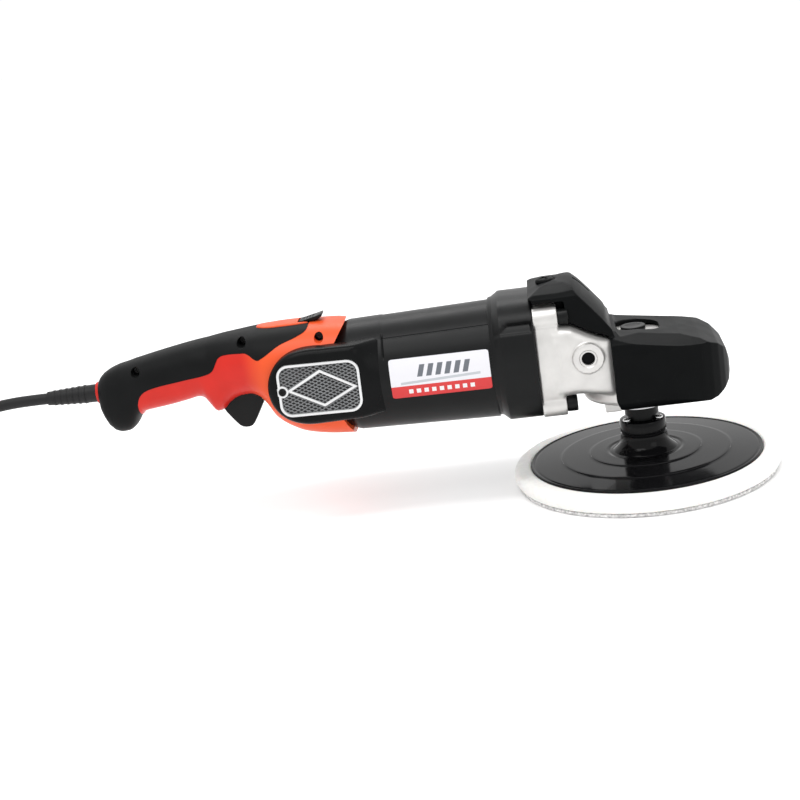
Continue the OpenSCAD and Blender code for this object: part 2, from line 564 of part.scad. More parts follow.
gear_housing();
gear_cover();
gear_cover_screws();
lower_bearing();
upper_bearing();
dust_seal();
head_cover();
cover_screw();
flange_screws();
front_bearing();
motor_housing();
front_collar();
field_core();
field_coils();
rear_bearing();
rear_bearing_sleeve();
brush_holders();
carbon_brushes();
tail_shell_left();
tail_shell_right();
grip_overmould_left();
grip_overmould_right();
side_pod_left();
side_pod_right();
vent_grille_left();
vent_grille_right();
grille_screws();
handle_screws();
label();
switch_body();
speed_module();
capacitor();
cord_clamp();
clamp_screws();
cord_boot();
boot_ring();
trigger_pin();
spindle();
crown_gear();
backing_hub();
hub_screws();
backing_plate();
foam_pad();
hook_layer();
armature_shaft();
armature_core();
armature_windings();
commutator();
cooling_fan();
pinion();
trigger();
lock_button();
lock_tang();
lock_spring();
lock_slider();
cord();
cord_coil();
cord_tie();
plug_body();
plug_pins();
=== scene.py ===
"""Rotary polisher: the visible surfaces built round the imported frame.

Places are worked out in millimetres in the frame's own axes (origin at the centre of the pad's
working face, +Z up the spindle, +X to the nose) and become metres when a mesh is made.
"""
import math

import bmesh
import bpy
import numpy as np
from mathutils import Matrix, Vector, noise


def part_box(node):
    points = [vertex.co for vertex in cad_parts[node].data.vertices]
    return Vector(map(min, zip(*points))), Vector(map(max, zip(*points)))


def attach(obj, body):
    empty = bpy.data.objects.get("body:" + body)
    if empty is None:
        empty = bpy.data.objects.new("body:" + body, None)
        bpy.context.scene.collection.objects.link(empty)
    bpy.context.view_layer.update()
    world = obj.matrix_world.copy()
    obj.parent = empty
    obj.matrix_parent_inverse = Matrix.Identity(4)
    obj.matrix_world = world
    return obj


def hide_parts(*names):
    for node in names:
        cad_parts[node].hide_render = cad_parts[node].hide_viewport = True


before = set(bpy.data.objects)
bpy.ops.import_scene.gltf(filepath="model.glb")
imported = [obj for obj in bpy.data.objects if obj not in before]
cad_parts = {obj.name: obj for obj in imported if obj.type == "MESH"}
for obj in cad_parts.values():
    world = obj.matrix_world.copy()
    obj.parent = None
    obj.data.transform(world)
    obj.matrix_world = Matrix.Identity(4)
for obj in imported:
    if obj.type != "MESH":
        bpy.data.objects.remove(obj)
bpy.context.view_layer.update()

bl_info = {
    "name": "Rotary polisher",
    "version": (1, 0, 0),
    "blender": (4, 5, 0),
    "location": "3D View > Sidebar > Polisher",
    "description": "Builds the looks of a rotary polisher round its packed frame",
    "category": "Object",
}

MM = 0.001


def box_mm(node):
    """Lowest and highest corner of a frame node, in millimetres."""
    low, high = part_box(node)
    return np.array(low) / MM, np.array(high) / MM


PAD_R = box_mm("foam_pad")[1][0]
PLATE_R = box_mm("backing_plate")[1][0]
MOTOR_Z = (box_mm("motor_housing")[0][2] + box_mm("motor_housing")[1][2]) / 2
CORD_Z = (box_mm("cord_boot")[0][2] + box_mm("cord_boot")[1][2]) / 2
CORD_END_X = box_mm("cord_boot")[0][0]


# ---------------------------------------------------------------- settings
class PolisherSizes(bpy.types.PropertyGroup):
    """Sizes a maker would change."""

    pad_radius: bpy.props.FloatProperty(
        name="Pad radius", description="Radius of the foam pad", default=PAD_R * MM,
        unit="LENGTH")
    plate_radius: bpy.props.FloatProperty(
        name="Plate radius", description="Radius of the backing plate", default=PLATE_R * MM,
        unit="LENGTH")
    barrel_front: bpy.props.FloatProperty(
        name="Barrel front", description="Radius of the motor barrel at its front",
        default=0.0386, unit="LENGTH")
    barrel_rear: bpy.props.FloatProperty(
        name="Barrel rear", description="Radius of the motor barrel at the tail",
        default=0.0365, unit="LENGTH")
    collar_half: bpy.props.FloatProperty(
        name="Collar half-width", description="Half-width of the squarish front collar",
        default=0.0416, unit="LENGTH")
    seam_depth: bpy.props.FloatProperty(
        name="Seam depth", description="Depth of the lines between moulded parts",
        default=0.0006, unit="LENGTH")
    edge_round: bpy.props.FloatProperty(
        name="Edge rounding", description="Rounding on the edges of the tail's mouldings",
        default=0.0008, unit="LENGTH")
    mesh_pitch: bpy.props.FloatProperty(
        name="Mesh pitch", description="Distance between the strands of the vent mesh",
        default=0.0021, unit="LENGTH")
    cord_diameter: bpy.props.FloatProperty(
        name="Cord diameter", description="Diameter of the mains cord", default=0.0075,
        unit="LENGTH")
    cord_length: bpy.props.FloatProperty(
        name="Cord length", description="Length of the mains cord", default=3.0, unit="LENGTH")


class PolisherColours(bpy.types.PropertyGroup):
    """Colours of the polisher's parts."""

    red: bpy.props.FloatVectorProperty(
        name="Red", description="Red tail moulding", default=(0.52, 0.016, 0.009),
        subtype="COLOR", min=0, max=1)
    # Colour round the vents: a painted highlight, the red moulding's lit copy, not a second plastic.
    painted_highlight_orange: bpy.props.FloatVectorProperty(
        name="Orange", description="Tail moulding round the vents", default=(0.7, 0.08, 0.018),
        subtype="COLOR", min=0, max=1)
    black: bpy.props.FloatVectorProperty(
        name="Black", description="Black nylon mouldings", default=(0.004, 0.0043, 0.0045),
        subtype="COLOR", min=0, max=1)
    grip: bpy.props.FloatVectorProperty(
        name="Grip", description="Soft grip", default=(0.0055, 0.0058, 0.006),
        subtype="COLOR", min=0, max=1)
    aluminium: bpy.props.FloatVectorProperty(
        name="Aluminium", description="Cast gear housing", default=(0.6, 0.59, 0.575),
        subtype="COLOR", min=0, max=1)
    foam: bpy.props.FloatVectorProperty(
        name="Foam", description="Polishing foam", default=(0.9, 0.89, 0.865),
        subtype="COLOR", min=0, max=1)
    label_red: bpy.props.FloatVectorProperty(
        name="Label band", description="Band along the label", default=(0.55, 0.008, 0.009),
        subtype="COLOR", min=0, max=1)


class PolisherCamera(bpy.types.PropertyGroup):
    """Where the camera stands."""

    azimuth: bpy.props.FloatProperty(
        name="Azimuth", description="Turn round the object, from the side towards the nose",
        default=math.radians(6.0), subtype="ANGLE")
    elevation: bpy.props.FloatProperty(
        name="Elevation", description="Angle above the floor", default=math.radians(15.6),
        subtype="ANGLE")
    roll: bpy.props.FloatProperty(
        name="Roll", description="Turn of the camera about its own axis",
        default=math.radians(8.3), subtype="ANGLE")
    distance: bpy.props.FloatProperty(
        name="Distance", description="Distance from the middle of the tool", default=1.1,
        unit="LENGTH")
    lens: bpy.props.FloatProperty(
        name="Lens", description="Focal length in millimetres", default=74.9)


def sizes():
    return bpy.context.scene.polisher_sizes


def colours():
    return bpy.context.scene.polisher_colours


# ---------------------------------------------------------------- mesh helpers
def make_object(name, points, faces):
    """An object from points in millimetres."""
    mesh = bpy.data.meshes.new(name)
    mesh.from_pydata([tuple(p) for p in np.asarray(points, float) * MM], [], faces)
    obj = bpy.data.objects.new(name, mesh)
    bpy.context.scene.collection.objects.link(obj)
    return obj


def make_normals_outward(obj):
    work = bmesh.new()
    work.from_mesh(obj.data)
    bmesh.ops.remove_doubles(work, verts=work.verts, dist=1e-7)
    bmesh.ops.dissolve_degenerate(work, dist=1e-7, edges=work.edges)
    bmesh.ops.recalc_face_normals(work, faces=work.faces)
    work.to_mesh(obj.data)
    work.free()


def skin_rings(name, rings, closed=True, ends=True):
    """A surface through rings of equal length; ends closes the first and last ring."""
    rings = [np.asarray(r, float) for r in rings]
    count = len(rings[0])
    faces = []
    for i in range(len(rings) - 1):
        for k in range(count if closed else count - 1):
            n = (k + 1) % count
            faces.append((i * count + k, i * count + n, (i + 1) * count + n, (i + 1) * count + k))
    if ends:
        faces.append(tuple(range(count))[::-1])
        faces.append(tuple((len(rings) - 1) * count + k for k in range(count)))
    obj = make_object(name, np.concatenate(rings), faces)
    make_normals_outward(obj)
    return obj


def lathe(name, profile, steps=128):
    """A closed profile of (radius, height) turned about Z; points on the axis are allowed."""
    rings = []
    for a in np.linspace(0, 2 * math.pi, steps, endpoint=False):
        rings.append([(r * math.cos(a), r * math.sin(a), z) for r, z in profile])
    rings.append(rings[0])
    return skin_rings(name, rings, closed=True, ends=False)


def rounded(profile, radius, steps=4):
    """A closed profile whose corners are rounded by short arcs."""
    points = [np.array(p, float) for p in profile]
    result = []
    for i, corner in enumerate(points):
        before, after = points[i - 1], points[(i + 1) % len(points)]
        one, two = before - corner, after - corner
        reach = min(radius, 0.45 * np.linalg.norm(one), 0.45 * np.linalg.norm(two))
        if reach < 0.02 or corner[0] < 1e-6:
            result.append(tuple(corner))
            continue
        start = corner + one / np.linalg.norm(one) * reach
        end = corner + two / np.linalg.norm(two) * reach
        for t in np.linspace(0, 1, steps):
            p = (1 - t) ** 2 * start + 2 * t * (1 - t) * corner + t * t * end
            result.append(tuple(p))
    return result


def move(obj, matrix):
    obj.data.transform(matrix)
    return obj


def settle(obj):
    """Turns an object's modifiers into plain mesh."""
    graph = bpy.context.evaluated_depsgraph_get()
    mesh = bpy.data.meshes.new_from_object(obj.evaluated_get(graph))
    obj.modifiers.clear()
    obj.data = mesh
    return obj


def carve(obj, cutters, operation="DIFFERENCE"):
    """Cuts the cutters out of obj, or keeps what they share with it, and removes them."""
    for cutter in cutters:
        step = obj.modifiers.new("Cut", "BOOLEAN")
        step.operation = operation
        step.solver = "EXACT"
        step.object = cutter
        bpy.context.view_layer.update()
        settle(obj)
        bpy.data.objects.remove(cutter)
    return obj


def melt(obj, voxel, passes=4, factor=0.5):
    """Joins overlapping closed solids into one skin with soft edges."""
    step = obj.modifiers.new("Join", "REMESH")
    step.mode = "VOXEL"
    step.voxel_size = voxel * MM
    soft = obj.modifiers.new("Soften", "SMOOTH")
    soft.factor = factor
    soft.iterations = passes
    return settle(obj)


def ease_edges(obj, width, segments=3, angle=35):
    step = obj.modifiers.new("Round", "BEVEL")
    step.width = width * MM
    step.segments = segments
    step.limit_method = "ANGLE"
    step.angle_limit = math.radians(angle)
    return settle(obj)


def join(name, parts):
    """One object from several."""
    work = bmesh.new()
    for part in parts:
        work.from_mesh(part.data)
        bpy.data.objects.remove(part)
    mesh = bpy.data.meshes.new(name)
    work.to_mesh(mesh)
    work.free()
    obj = bpy.data.objects.new(name, mesh)
    bpy.context.scene.collection.objects.link(obj)
    return obj


def bar(name, low, high):
    """A box between two corners."""
    x0, y0, z0 = low
    x1, y1, z1 = high
    points = [(x, y, z) for x in (x0, x1) for y in (y0, y1) for z in (z0, z1)]
    faces = [(0, 1, 3, 2), (4, 6, 7, 5), (0, 4, 5, 1), (2, 3, 7, 6), (0, 2, 6, 4), (1, 5, 7, 3)]
    return make_object(name, points, faces)


def round_bar(name, start, end, radius, steps=32, end_radius=None):
    """A round bar from start to end."""
    start, end = Vector(start), Vector(end)
    turn = (end - start).to_track_quat("Z", "Y")
    rings = []
    for centre, r in ((start, radius), (end, radius if end_radius is None else end_radius)):
        rings.append([tuple(centre + turn @ Vector((r * math.cos(a), r * math.sin(a), 0)))
                      for a in np.linspace(0, 2 * math.pi, steps, endpoint=False)])
    return skin_rings(name, rings)


def side_solid(name, outline, half, middle=0.0):
    """An outline in X and Z, pulled out to both sides."""
    rings = [[(x, y, z) for x, z in outline] for y in (middle - half, middle + half)]
    return skin_rings(name, rings)


def smooth_line(xs, ys, x):
    """Monotone cubic through the points (xs, ys), read at x."""
    xs, ys, x = np.asarray(xs, float), np.asarray(ys, float), np.asarray(x, float)
    h = np.diff(xs)
    d = np.diff(ys) / h
    m = np.zeros(len(xs))
    m[0], m[-1] = d[0], d[-1]
    for i in range(1, len(xs) - 1):
        if d[i - 1] * d[i] > 0:
            w1, w2 = 2 * h[i] + h[i - 1], h[i] + 2 * h[i - 1]
            m[i] = (w1 + w2) / (w1 / d[i - 1] + w2 / d[i])
    k = np.clip(np.searchsorted(xs, x) - 1, 0, len(xs) - 2)
    t = np.clip((x - xs[k]) / h[k], 0, 1)
    return (ys[k] * (2 * t**3 - 3 * t**2 + 1) + h[k] * m[k] * (t**3 - 2 * t**2 + t)
            + ys[k + 1] * (3 * t**2 - 2 * t**3) + h[k] * m[k + 1] * (t**3 - t**2))


def ramp(value, low, high):
    """0 below low, 1 above high, and a smooth rise between."""
    t = np.clip((value - low) / (high - low), 0, 1)
    return t * t * (3 - 2 * t)


def finish_piece(obj, body, material, stands_for=(), sharp=32):
    """Shades a piece, gives it its finish and hangs it on its body."""
    obj.data.materials.clear()
    obj.data.materials.append(material)
    if obj.type == "MESH":
        obj.data.polygons.foreach_set("use_smooth", [True] * len(obj.data.polygons))
        obj.data.set_sharp_from_angle(angle=math.radians(sharp))
    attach(obj, body)
    if stands_for:
        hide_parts(*stands_for)
    return obj


# ---------------------------------------------------------------- finishes
def new_material(name):
    material = bpy.data.materials.new(name)
    material.use_nodes = True
    return material, material.node_tree.nodes, material.node_tree.links


def add_grain(nodes, links, size, depth, shader, detail=3.0):
    """Fine surface grain; size is its spacing and depth its height, in millimetres."""
    place = nodes.new("ShaderNodeTexCoord")
    grain = nodes.new("ShaderNodeTexNoise")
    grain.inputs["Scale"].default_value = 1.0 / (size * MM)
    grain.inputs["Detail"].default_value = detail
    bump = nodes.new("ShaderNodeBump")
    bump.inputs["Distance"].default_value = depth * MM
    bump.inputs["Strength"].default_value = 0.6
    links.new(place.outputs["Object"], grain.inputs["Vector"])
    links.new(grain.outputs["Fac"], bump.inputs["Height"])
    links.new(bump.outputs["Normal"], shader.inputs["Normal"])
    return place, grain


def moulded(name, colour, rough=0.45, grain=0.5, depth=0.03, spread=0.12, metal=0.0, coat=0.0,
            cloud=14.0, rough_spread=0.08, specular=0.5):
    """A finish with grain, slight colour variation and uneven gloss."""
    material, nodes, links = new_material(name)
    shader = nodes["Principled BSDF"]
    shader.inputs["Metallic"].default_value = metal
    shader.inputs["Coat Weight"].default_value = coat
    shader.inputs["Coat Roughness"].default_value = 0.08
    shader.inputs["Specular IOR Level"].default_value = specular
    place, _ = add_grain(nodes, links, grain, depth, shader)
    patches = nodes.new("ShaderNodeTexNoise")
    patches.inputs["Scale"].default_value = 1.0 / (cloud * MM)
    patches.inputs["Detail"].default_value = 4.0
    links.new(place.outputs["Object"], patches.inputs["Vector"])
    tint = nodes.new("ShaderNodeValToRGB")
    tint.color_ramp.elements[0].position = 0.3
    tint.color_ramp.elements[1].position = 0.7
    tint.color_ramp.elements[0].color = [c * (1 - spread) for c in colour] + [1]
    tint.color_ramp.elements[1].color = [min(1, c * (1 + spread)) for c in colour] + [1]
    links.new(patches.outputs["Fac"], tint.inputs["Fac"])
    links.new(tint.outputs["Color"], shader.inputs["Base Color"])
    gloss = nodes.new("ShaderNodeMapRange")
    gloss.inputs["To Min"].default_value = max(0.02, rough - rough_spread)
    gloss.inputs["To Max"].default_value = min(1, rough + rough_spread)
    links.new(patches.outputs["Fac"], gloss.inputs["Value"])
    links.new(gloss.outputs["Result"], shader.inputs["Roughness"])
    return material


def shell_finish():
    """Tail moulding: red along the handle, turning orange round the vents; the orange is a painted highlight,
    a lit copy of the same red.
    """
    red, painted_highlight_orange = colours().red, colours().painted_highlight_orange
    material = moulded("Tail nylon", red, rough=0.38, grain=0.55, depth=0.02, spread=0.06,
                       specular=0.25)
    nodes, links = material.node_tree.nodes, material.node_tree.links
    shader = nodes["Principled BSDF"]
    place = next(n for n in nodes if n.type == "TEX_COORD")
    tint = next(n for n in nodes if n.type == "VALTORGB")
    apart = nodes.new("ShaderNodeSeparateXYZ")
    links.new(place.outputs["Object"], apart.inputs["Vector"])
    # Blends from the red to its painted highlight between x -254 and -236 mm.
    reach = nodes.new("ShaderNodeMapRange")
    reach.interpolation_type = "SMOOTHSTEP"
    reach.inputs["From Min"].default_value = -254 * MM
    reach.inputs["From Max"].default_value = -236 * MM
    links.new(apart.outputs["X"], reach.inputs["Value"])
    mix = nodes.new("ShaderNodeMix")
    mix.data_type = "RGBA"
    links.new(reach.outputs["Result"], mix.inputs["Factor"])
    links.new(tint.outputs["Color"], mix.inputs[6])
    mix.inputs[7].default_value = (*painted_highlight_orange, 1)
    links.new(mix.outputs[2], shader.inputs["Base Color"])
    return material


def foam_finish():
    """Open-celled foam: pale, matt and pitted."""
    colour = colours().foam
    material, nodes, links = new_material("Foam")
    shader = nodes["Principled BSDF"]
    shader.inputs["Roughness"].default_value = 0.92
    shader.inputs["Subsurface Weight"].default_value = 0.12
    shader.inputs["Subsurface Scale"].default_value = 0.002
    place = nodes.new("ShaderNodeTexCoord")
    cells = nodes.new("ShaderNodeTexVoronoi")
    cells.inputs["Scale"].default_value = 1.0 / (1.1 * MM)
    fuzz = nodes.new("ShaderNodeTexNoise")
    fuzz.inputs["Scale"].default_value = 1.0 / (3.5 * MM)
    fuzz.inputs["Detail"].default_value = 5
    links.new(place.outputs["Object"], cells.inputs["Vector"])
    links.new(place.outputs["Object"], fuzz.inputs["Vector"])
    add = nodes.new("ShaderNodeMath")
    add.operation = "ADD"
    links.new(cells.outputs["Distance"], add.inputs[0])
    links.new(fuzz.outputs["Fac"], add.inputs[1])
    bump = nodes.new("ShaderNodeBump")
    bump.inputs["Distance"].default_value = 0.35 * MM
    bump.inputs["Strength"].default_value = 0.7
    links.new(add.outputs["Value"], bump.inputs["Height"])
    links.new(bump.outputs["Normal"], shader.inputs["Normal"])
    tint = nodes.new("ShaderNodeValToRGB")
    tint.color_ramp.elements[0].color = [c * 0.86 for c in colour] + [1]
    tint.color_ramp.elements[1].color = [min(1, c * 1.04) for c in colour] + [1]
    links.new(fuzz.outputs["Fac"], tint.inputs["Fac"])
    links.new(tint.outputs["Color"], shader.inputs["Base Color"])
    return material


def label_finish(low, high):
    """White label with a red band and plain printed shapes; low and high are its corners."""
    material, nodes, links = new_material("Label print")
    shader = nodes["Principled BSDF"]
    shader.inputs["Roughness"].default_value = 0.32
    shader.inputs["Coat Weight"].default_value = 0.25
    place, _ = add_grain(nodes, links, 1.6, 0.01, shader)
    apart = nodes.new("ShaderNodeSeparateXYZ")
    links.new(place.outputs["Object"], apart.inputs["Vector"])

    def across(axis, first, last):
        """Position along one axis, from 0 to 1."""
        part = nodes.new("ShaderNodeMapRange")
        part.clamp = False
        part.inputs["From Min"].default_value = first * MM
        part.inputs["From Max"].default_value = last * MM
        links.new(apart.outputs[axis], part.inputs["Value"])
        return part.outputs["Result"]

    def math_node(kind, one, two):
        part = nodes.new("ShaderNodeMath")
        part.operation = kind
        for k, value in enumerate((one, two)):
            if isinstance(value, (int, float)):
                part.inputs[k].default_value = value
            else:
                links.new(value, part.inputs[k])
        return part.outputs["Value"]

    def between(value, first, last):
        return math_node("MULTIPLY", math_node("GREATER_THAN", value, first),
                         math_node("LESS_THAN", value, last))

    def layer(under, mask, colour):
        mix = nodes.new("ShaderNodeMix")
        mix.data_type = "RGBA"
        links.new(mask, mix.inputs["Factor"])
        if isinstance(under, tuple):
            mix.inputs[6].default_value = (*under, 1)
        else:
            links.new(under, mix.inputs[6])
        mix.inputs[7].default_value = (*colour, 1)
        return mix.outputs[2]

    u = across("X", low[0], high[0])
    v = across("Z", low[2], high[2])
    lean = math_node("ADD", u, math_node("MULTIPLY", v, -0.12))
    stripes = math_node("FRACT", math_node("MULTIPLY", lean, 11.0), 0.0)
    emblem = math_node("MULTIPLY", between(stripes, 0.28, 0.86), between(lean, 0.18, 0.727))
    emblem = math_node("MULTIPLY", emblem, between(v, 0.52, 0.82))
    swoosh = math_node("MULTIPLY", between(u, 0.1, 0.9),
                       between(math_node("ADD", v, math_node("MULTIPLY", u, -0.1)), 0.335, 0.40))
    dashes = math_node("FRACT", math_node("MULTIPLY", u, 13.0), 0.0)
    row = math_node("MULTIPLY", between(dashes, 0.22, 0.78), between(u, 0.155, 0.845))
    row = math_node("MULTIPLY", row, between(v, 0.10, 0.21))
    colour = layer((0.66, 0.655, 0.69), emblem, (0.11, 0.12, 0.14))
    colour = layer(colour, swoosh, (0.42, 0.44, 0.47))
    colour = layer(colour, math_node("LESS_THAN", v, 0.31), tuple(colours().label_red))
    colour = layer(colour, row, (0.7, 0.69, 0.69))
    links.new(colour, shader.inputs["Base Color"])
    return material


def make_finishes():
    """All the finishes, by name."""
    c = colours()
    return {
        "alu": moulded("Cast aluminium", c.aluminium, rough=0.42, grain=0.7, depth=0.06,
                       spread=0.06, metal=0.75, cloud=9),
        "steel": moulded("Steel", (0.52, 0.52, 0.53), rough=0.3, grain=0.3, depth=0.01,
                         metal=1.0),
        "bright": moulded("Bright steel", (0.82, 0.82, 0.82), rough=0.2, grain=0.3, depth=0.006,
                          metal=0.9),
        "hood": moulded("Hood rubber", (0.003, 0.0034, 0.0036), rough=0.4, grain=0.42,
                        depth=0.035, spread=0.15, specular=0.05),
        "black": moulded("Black nylon", c.black, rough=0.34, grain=0.45, depth=0.03,
                         spread=0.15, specular=0.16),
        "pod": moulded("Pod nylon", c.black, rough=0.27, grain=0.5, depth=0.012, spread=0.12,
                       specular=0.08),
        "grip": moulded("Soft grip", c.grip, rough=0.5, grain=0.5, depth=0.05, spread=0.15,
                        specular=0.08),
        "plate": moulded("Glossy plate", (0.005, 0.005, 0.0055), rough=0.12, grain=3.0,
                         depth=0.02, spread=0.2, cloud=30, specular=0.12),
        "mesh": moulded("Vent mesh", (0.2, 0.205, 0.21), rough=0.4, grain=0.6, depth=0.02,
                        metal=0.6, spread=0.1),
        "cord": moulded("Cord rubber", (0.009, 0.009, 0.0095), rough=0.5, grain=0.4, depth=0.03,
                        specular=0.25),
        "hook": moulded("Hook layer", (0.62, 0.615, 0.61), rough=0.9, grain=0.6, depth=0.3,
                        spread=0.45, cloud=1.8),
        "red": moulded("Red nylon", c.red, rough=0.4, grain=0.5, depth=0.02, spread=0.06,
                       specular=0.25),
        "silver": moulded("Vent metal", (0.66, 0.665, 0.67), rough=0.36, grain=0.6, depth=0.02,
                          metal=0.55, spread=0.05),
        "copper": moulded("Copper", (0.62, 0.28, 0.14), rough=0.35, metal=1.0),
        "brass": moulded("Brass", (0.72, 0.52, 0.24), rough=0.25, metal=1.0),
        "carbon": moulded("Carbon", (0.03, 0.03, 0.03), rough=0.7, grain=0.3, depth=0.05),
        "board": moulded("Circuit board", (0.02, 0.12, 0.05), rough=0.45),
        "shell": shell_finish(),
        "foam": foam_finish(),
    }


FINISH = {}


# ---------------------------------------------------------------- repeated parts
def placing_group():
    """Node group: a copy of the part on each point, turned and sized by the point's values."""
    tree = bpy.data.node_groups.new("Place copies", "GeometryNodeTree")
    face = tree.interface
    face.new_socket(name="Geometry", in_out="INPUT", socket_type="NodeSocketGeometry")
    face.new_socket(name="Part", in_out="INPUT", socket_type="NodeSocketObject")
    face.new_socket(name="Finish", in_out="INPUT", socket_type="NodeSocketMaterial")
    face.new_socket(name="Geometry", in_out="OUTPUT", socket_type="NodeSocketGeometry")
    nodes, links = tree.nodes, tree.links
    start, end = nodes.new("NodeGroupInput"), nodes.new("NodeGroupOutput")
    info = nodes.new("GeometryNodeObjectInfo")
    place = nodes.new("GeometryNodeInstanceOnPoints")
    turn = nodes.new("GeometryNodeInputNamedAttribute")
    turn.data_type = "FLOAT_VECTOR"
    turn.inputs["Name"].default_value = "turn"
    size = nodes.new("GeometryNodeInputNamedAttribute")
    size.data_type = "FLOAT_VECTOR"
    size.inputs["Name"].default_value = "size"
    angle = nodes.new("FunctionNodeEulerToRotation")
    real = nodes.new("GeometryNodeRealizeInstances")
    paint = nodes.new("GeometryNodeSetMaterial")
    links.new(start.outputs["Part"], info.inputs["Object"])
    links.new(start.outputs["Geometry"], place.inputs["Points"])
    links.new(info.outputs["Geometry"], place.inputs["Instance"])
    links.new(turn.outputs["Attribute"], angle.inputs[0])
    links.new(angle.outputs[0], place.inputs["Rotation"])
    links.new(size.outputs["Attribute"], place.inputs["Scale"])
    links.new(place.outputs["Instances"], real.inputs["Geometry"])
    links.new(real.outputs["Geometry"], paint.inputs["Geometry"])
    links.new(start.outputs["Finish"], paint.inputs["Material"])
    links.new(paint.outputs["Geometry"], end.inputs["Geometry"])
    return tree


def repeat(name, part, places, material):
    """Copies of part at places, each (point, turn, size), through the placing group."""
    tree = bpy.data.node_groups.get("Place copies") or placing_group()
    obj = make_object(name, [p[0] for p in places], [])
    turns = obj.data.attributes.new("turn", "FLOAT_VECTOR", "POINT")
    turns.data.foreach_set("vector", [v for p in places for v in p[1]])
    scales = obj.data.attributes.new("size", "FLOAT_VECTOR", "POINT")
    scales.data.foreach_set("vector", [v for p in places for v in p[2]])
    step = obj.modifiers.new("Copies", "NODES")
    step.node_group = tree
    sockets = {s.name: s.identifier for s in tree.interface.items_tree if s.in_out == "INPUT"}
    step[sockets["Part"]] = part
    step[sockets["Finish"]] = material
    bpy.context.view_layer.update()
    settle(obj)
    bpy.data.objects.remove(part)
    return obj


def cross_screw(radius, height):
    """A screw head with a cross recess, its underside at the origin, facing +Z."""
    head = lathe("Head", rounded([(0, 0), (radius, 0), (radius, height * 0.7),
                                  (radius * 0.7, height), (0, height)], height * 0.35), 48)
    arm, deep = radius * 0.62, height * 0.45
    cuts = [bar("Slot", (-arm, -radius * 0.13, deep), (arm, radius * 0.13, height * 2)),
            bar("Slot", (-radius * 0.13, -arm, deep), (radius * 0.13, arm, height * 2))]
    return carve(head, cuts)


def socket_screw(radius, height):
    """A cap screw with a hexagonal socket, its underside at the origin, facing +Z."""
    head = lathe("Head", rounded([(0, 0), (radius, 0), (radius, height), (0, height)],
                                 height * 0.14), 48)
    cut = round_bar("Socket", (0, 0, height * 0.4), (0, 0, height * 2), radius * 0.55, steps=6)
    return carve(head, [cut])


# ---------------------------------------------------------------- camera and stage
def place_camera():
    """The camera, looking at the middle of the tool."""
    view = bpy.context.scene.polisher_camera
    a, e, r = view.azimuth, view.elevation, view.roll
    back = Vector((math.sin(a) * math.cos(e), -math.cos(a) * math.cos(e), math.sin(e)))
    right = Vector((math.cos(a), math.sin(a), 0))
    up = Vector((-math.sin(e) * math.sin(a), math.sin(e) * math.cos(a), math.cos(e)))
    side = right * math.cos(r) - up * math.sin(r)
    top = right * math.sin(r) + up * math.cos(r)
    middle = Vector((-0.1566, 0, 0.0686))
    data = bpy.data.cameras.new("Camera")
    data.lens = view.lens
    data.sensor_width = 36
    data.clip_start, data.clip_end = 0.05, 30
    camera = bpy.data.objects.new("Camera", data)
    bpy.context.scene.collection.objects.link(camera)
    turn = Matrix((side, top, back)).transposed().to_4x4()
    camera.matrix_world = Matrix.Translation(middle + back * view.distance) @ turn
    bpy.context.scene.camera = camera


def add_light(name, place, target, size, power):
    data = bpy.data.lights.new(name, "AREA")
    data.shape = "RECTANGLE"
    data.size, data.size_y = size
    data.energy = power
    light = bpy.data.objects.new(name, data)
    bpy.context.scene.collection.objects.link(light)
    light.location = place
    light.rotation_euler = (Vector(target) - Vector(place)).to_track_quat("-Z", "Y").to_euler()


def make_stage():
    """A pale floor under soft white light."""
    reach = 6000
    floor = make_object("Floor", [(-reach, -reach, -0.3), (reach, -reach, -0.3),
                                  (reach, reach, -0.3), (-reach, reach, -0.3)], [(0, 1, 2, 3)])
    material, nodes, _ = new_material("Floor")
    shader = nodes["Principled BSDF"]
    shader.inputs["Base Color"].default_value = (0.97, 0.97, 0.97, 1)
    shader.inputs["Roughness"].default_value = 0.9
    shader.inputs["Specular IOR Level"].default_value = 0.1
    floor.data.materials.append(material)
    world = bpy.data.worlds.new("Studio")
    world.use_nodes = True
    sky = world.node_tree.nodes["Background"]
    sky.inputs["Color"].default_value = (1, 1, 1, 1)
    sky.inputs["Strength"].default_value = 1.04
    bpy.context.scene.view_settings.view_transform = "Standard"
    bpy.context.scene.world = world
    add_light("Key", (-0.5, -0.9, 1.5), (-0.15, 0, 0.1), (0.9, 0.5), 4)
    add_light("Strip", (-0.2, -0.25, 1.15), (-0.2, 0, 0.1), (1.1, 0.24), 5)
    add_light("Fill", (0.9, -1.1, 0.7), (0, 0, 0.08), (0.7, 0.7), 1.5)
    add_light("Rim", (-0.2, 1.0, 1.2), (-0.15, 0, 0.1), (1.2, 0.4), 5)


# ---------------------------------------------------------------- mains cord
LEAD = [(-391, 0, 98), (-402, 0, 98), (-415, 0, 97.6), (-429, 0, 96), (-443, -0.5, 91.5),
        (-456, -1.5, 83), (-466, -3, 71.5), (-473, -4.5, 58), (-479, -6.5, 43.5),
        (-486, -9, 29), (-495, -11.5, 16.5), (-506, -14, 8), (-520, -16, 4.6)]
LEAD_OUT = [(-499, 10, 27), (-507, 0, 26), (-516, -9, 22.5), (-525, -18, 17.5),
            (-534, -26, 12.8), (-543, -34, 10.4), (-552, -42, 10)]
COIL_AT = (-535.0, 33.0)
COIL_ROWS = (48.3, 40.8, 33.3)
COIL_BASE = 4.75
COIL_PITCH = 7.5
PLUG_TURN = math.radians(221.6)


def coil_turn(turn):
    """Radius and height of the cord on the given turn of the coil, a whole number."""
    layer, place = divmod(turn, 3)
    rows = COIL_ROWS if layer % 2 == 0 else COIL_ROWS[::-1]
    return rows[place], COIL_BASE + COIL_PITCH * layer


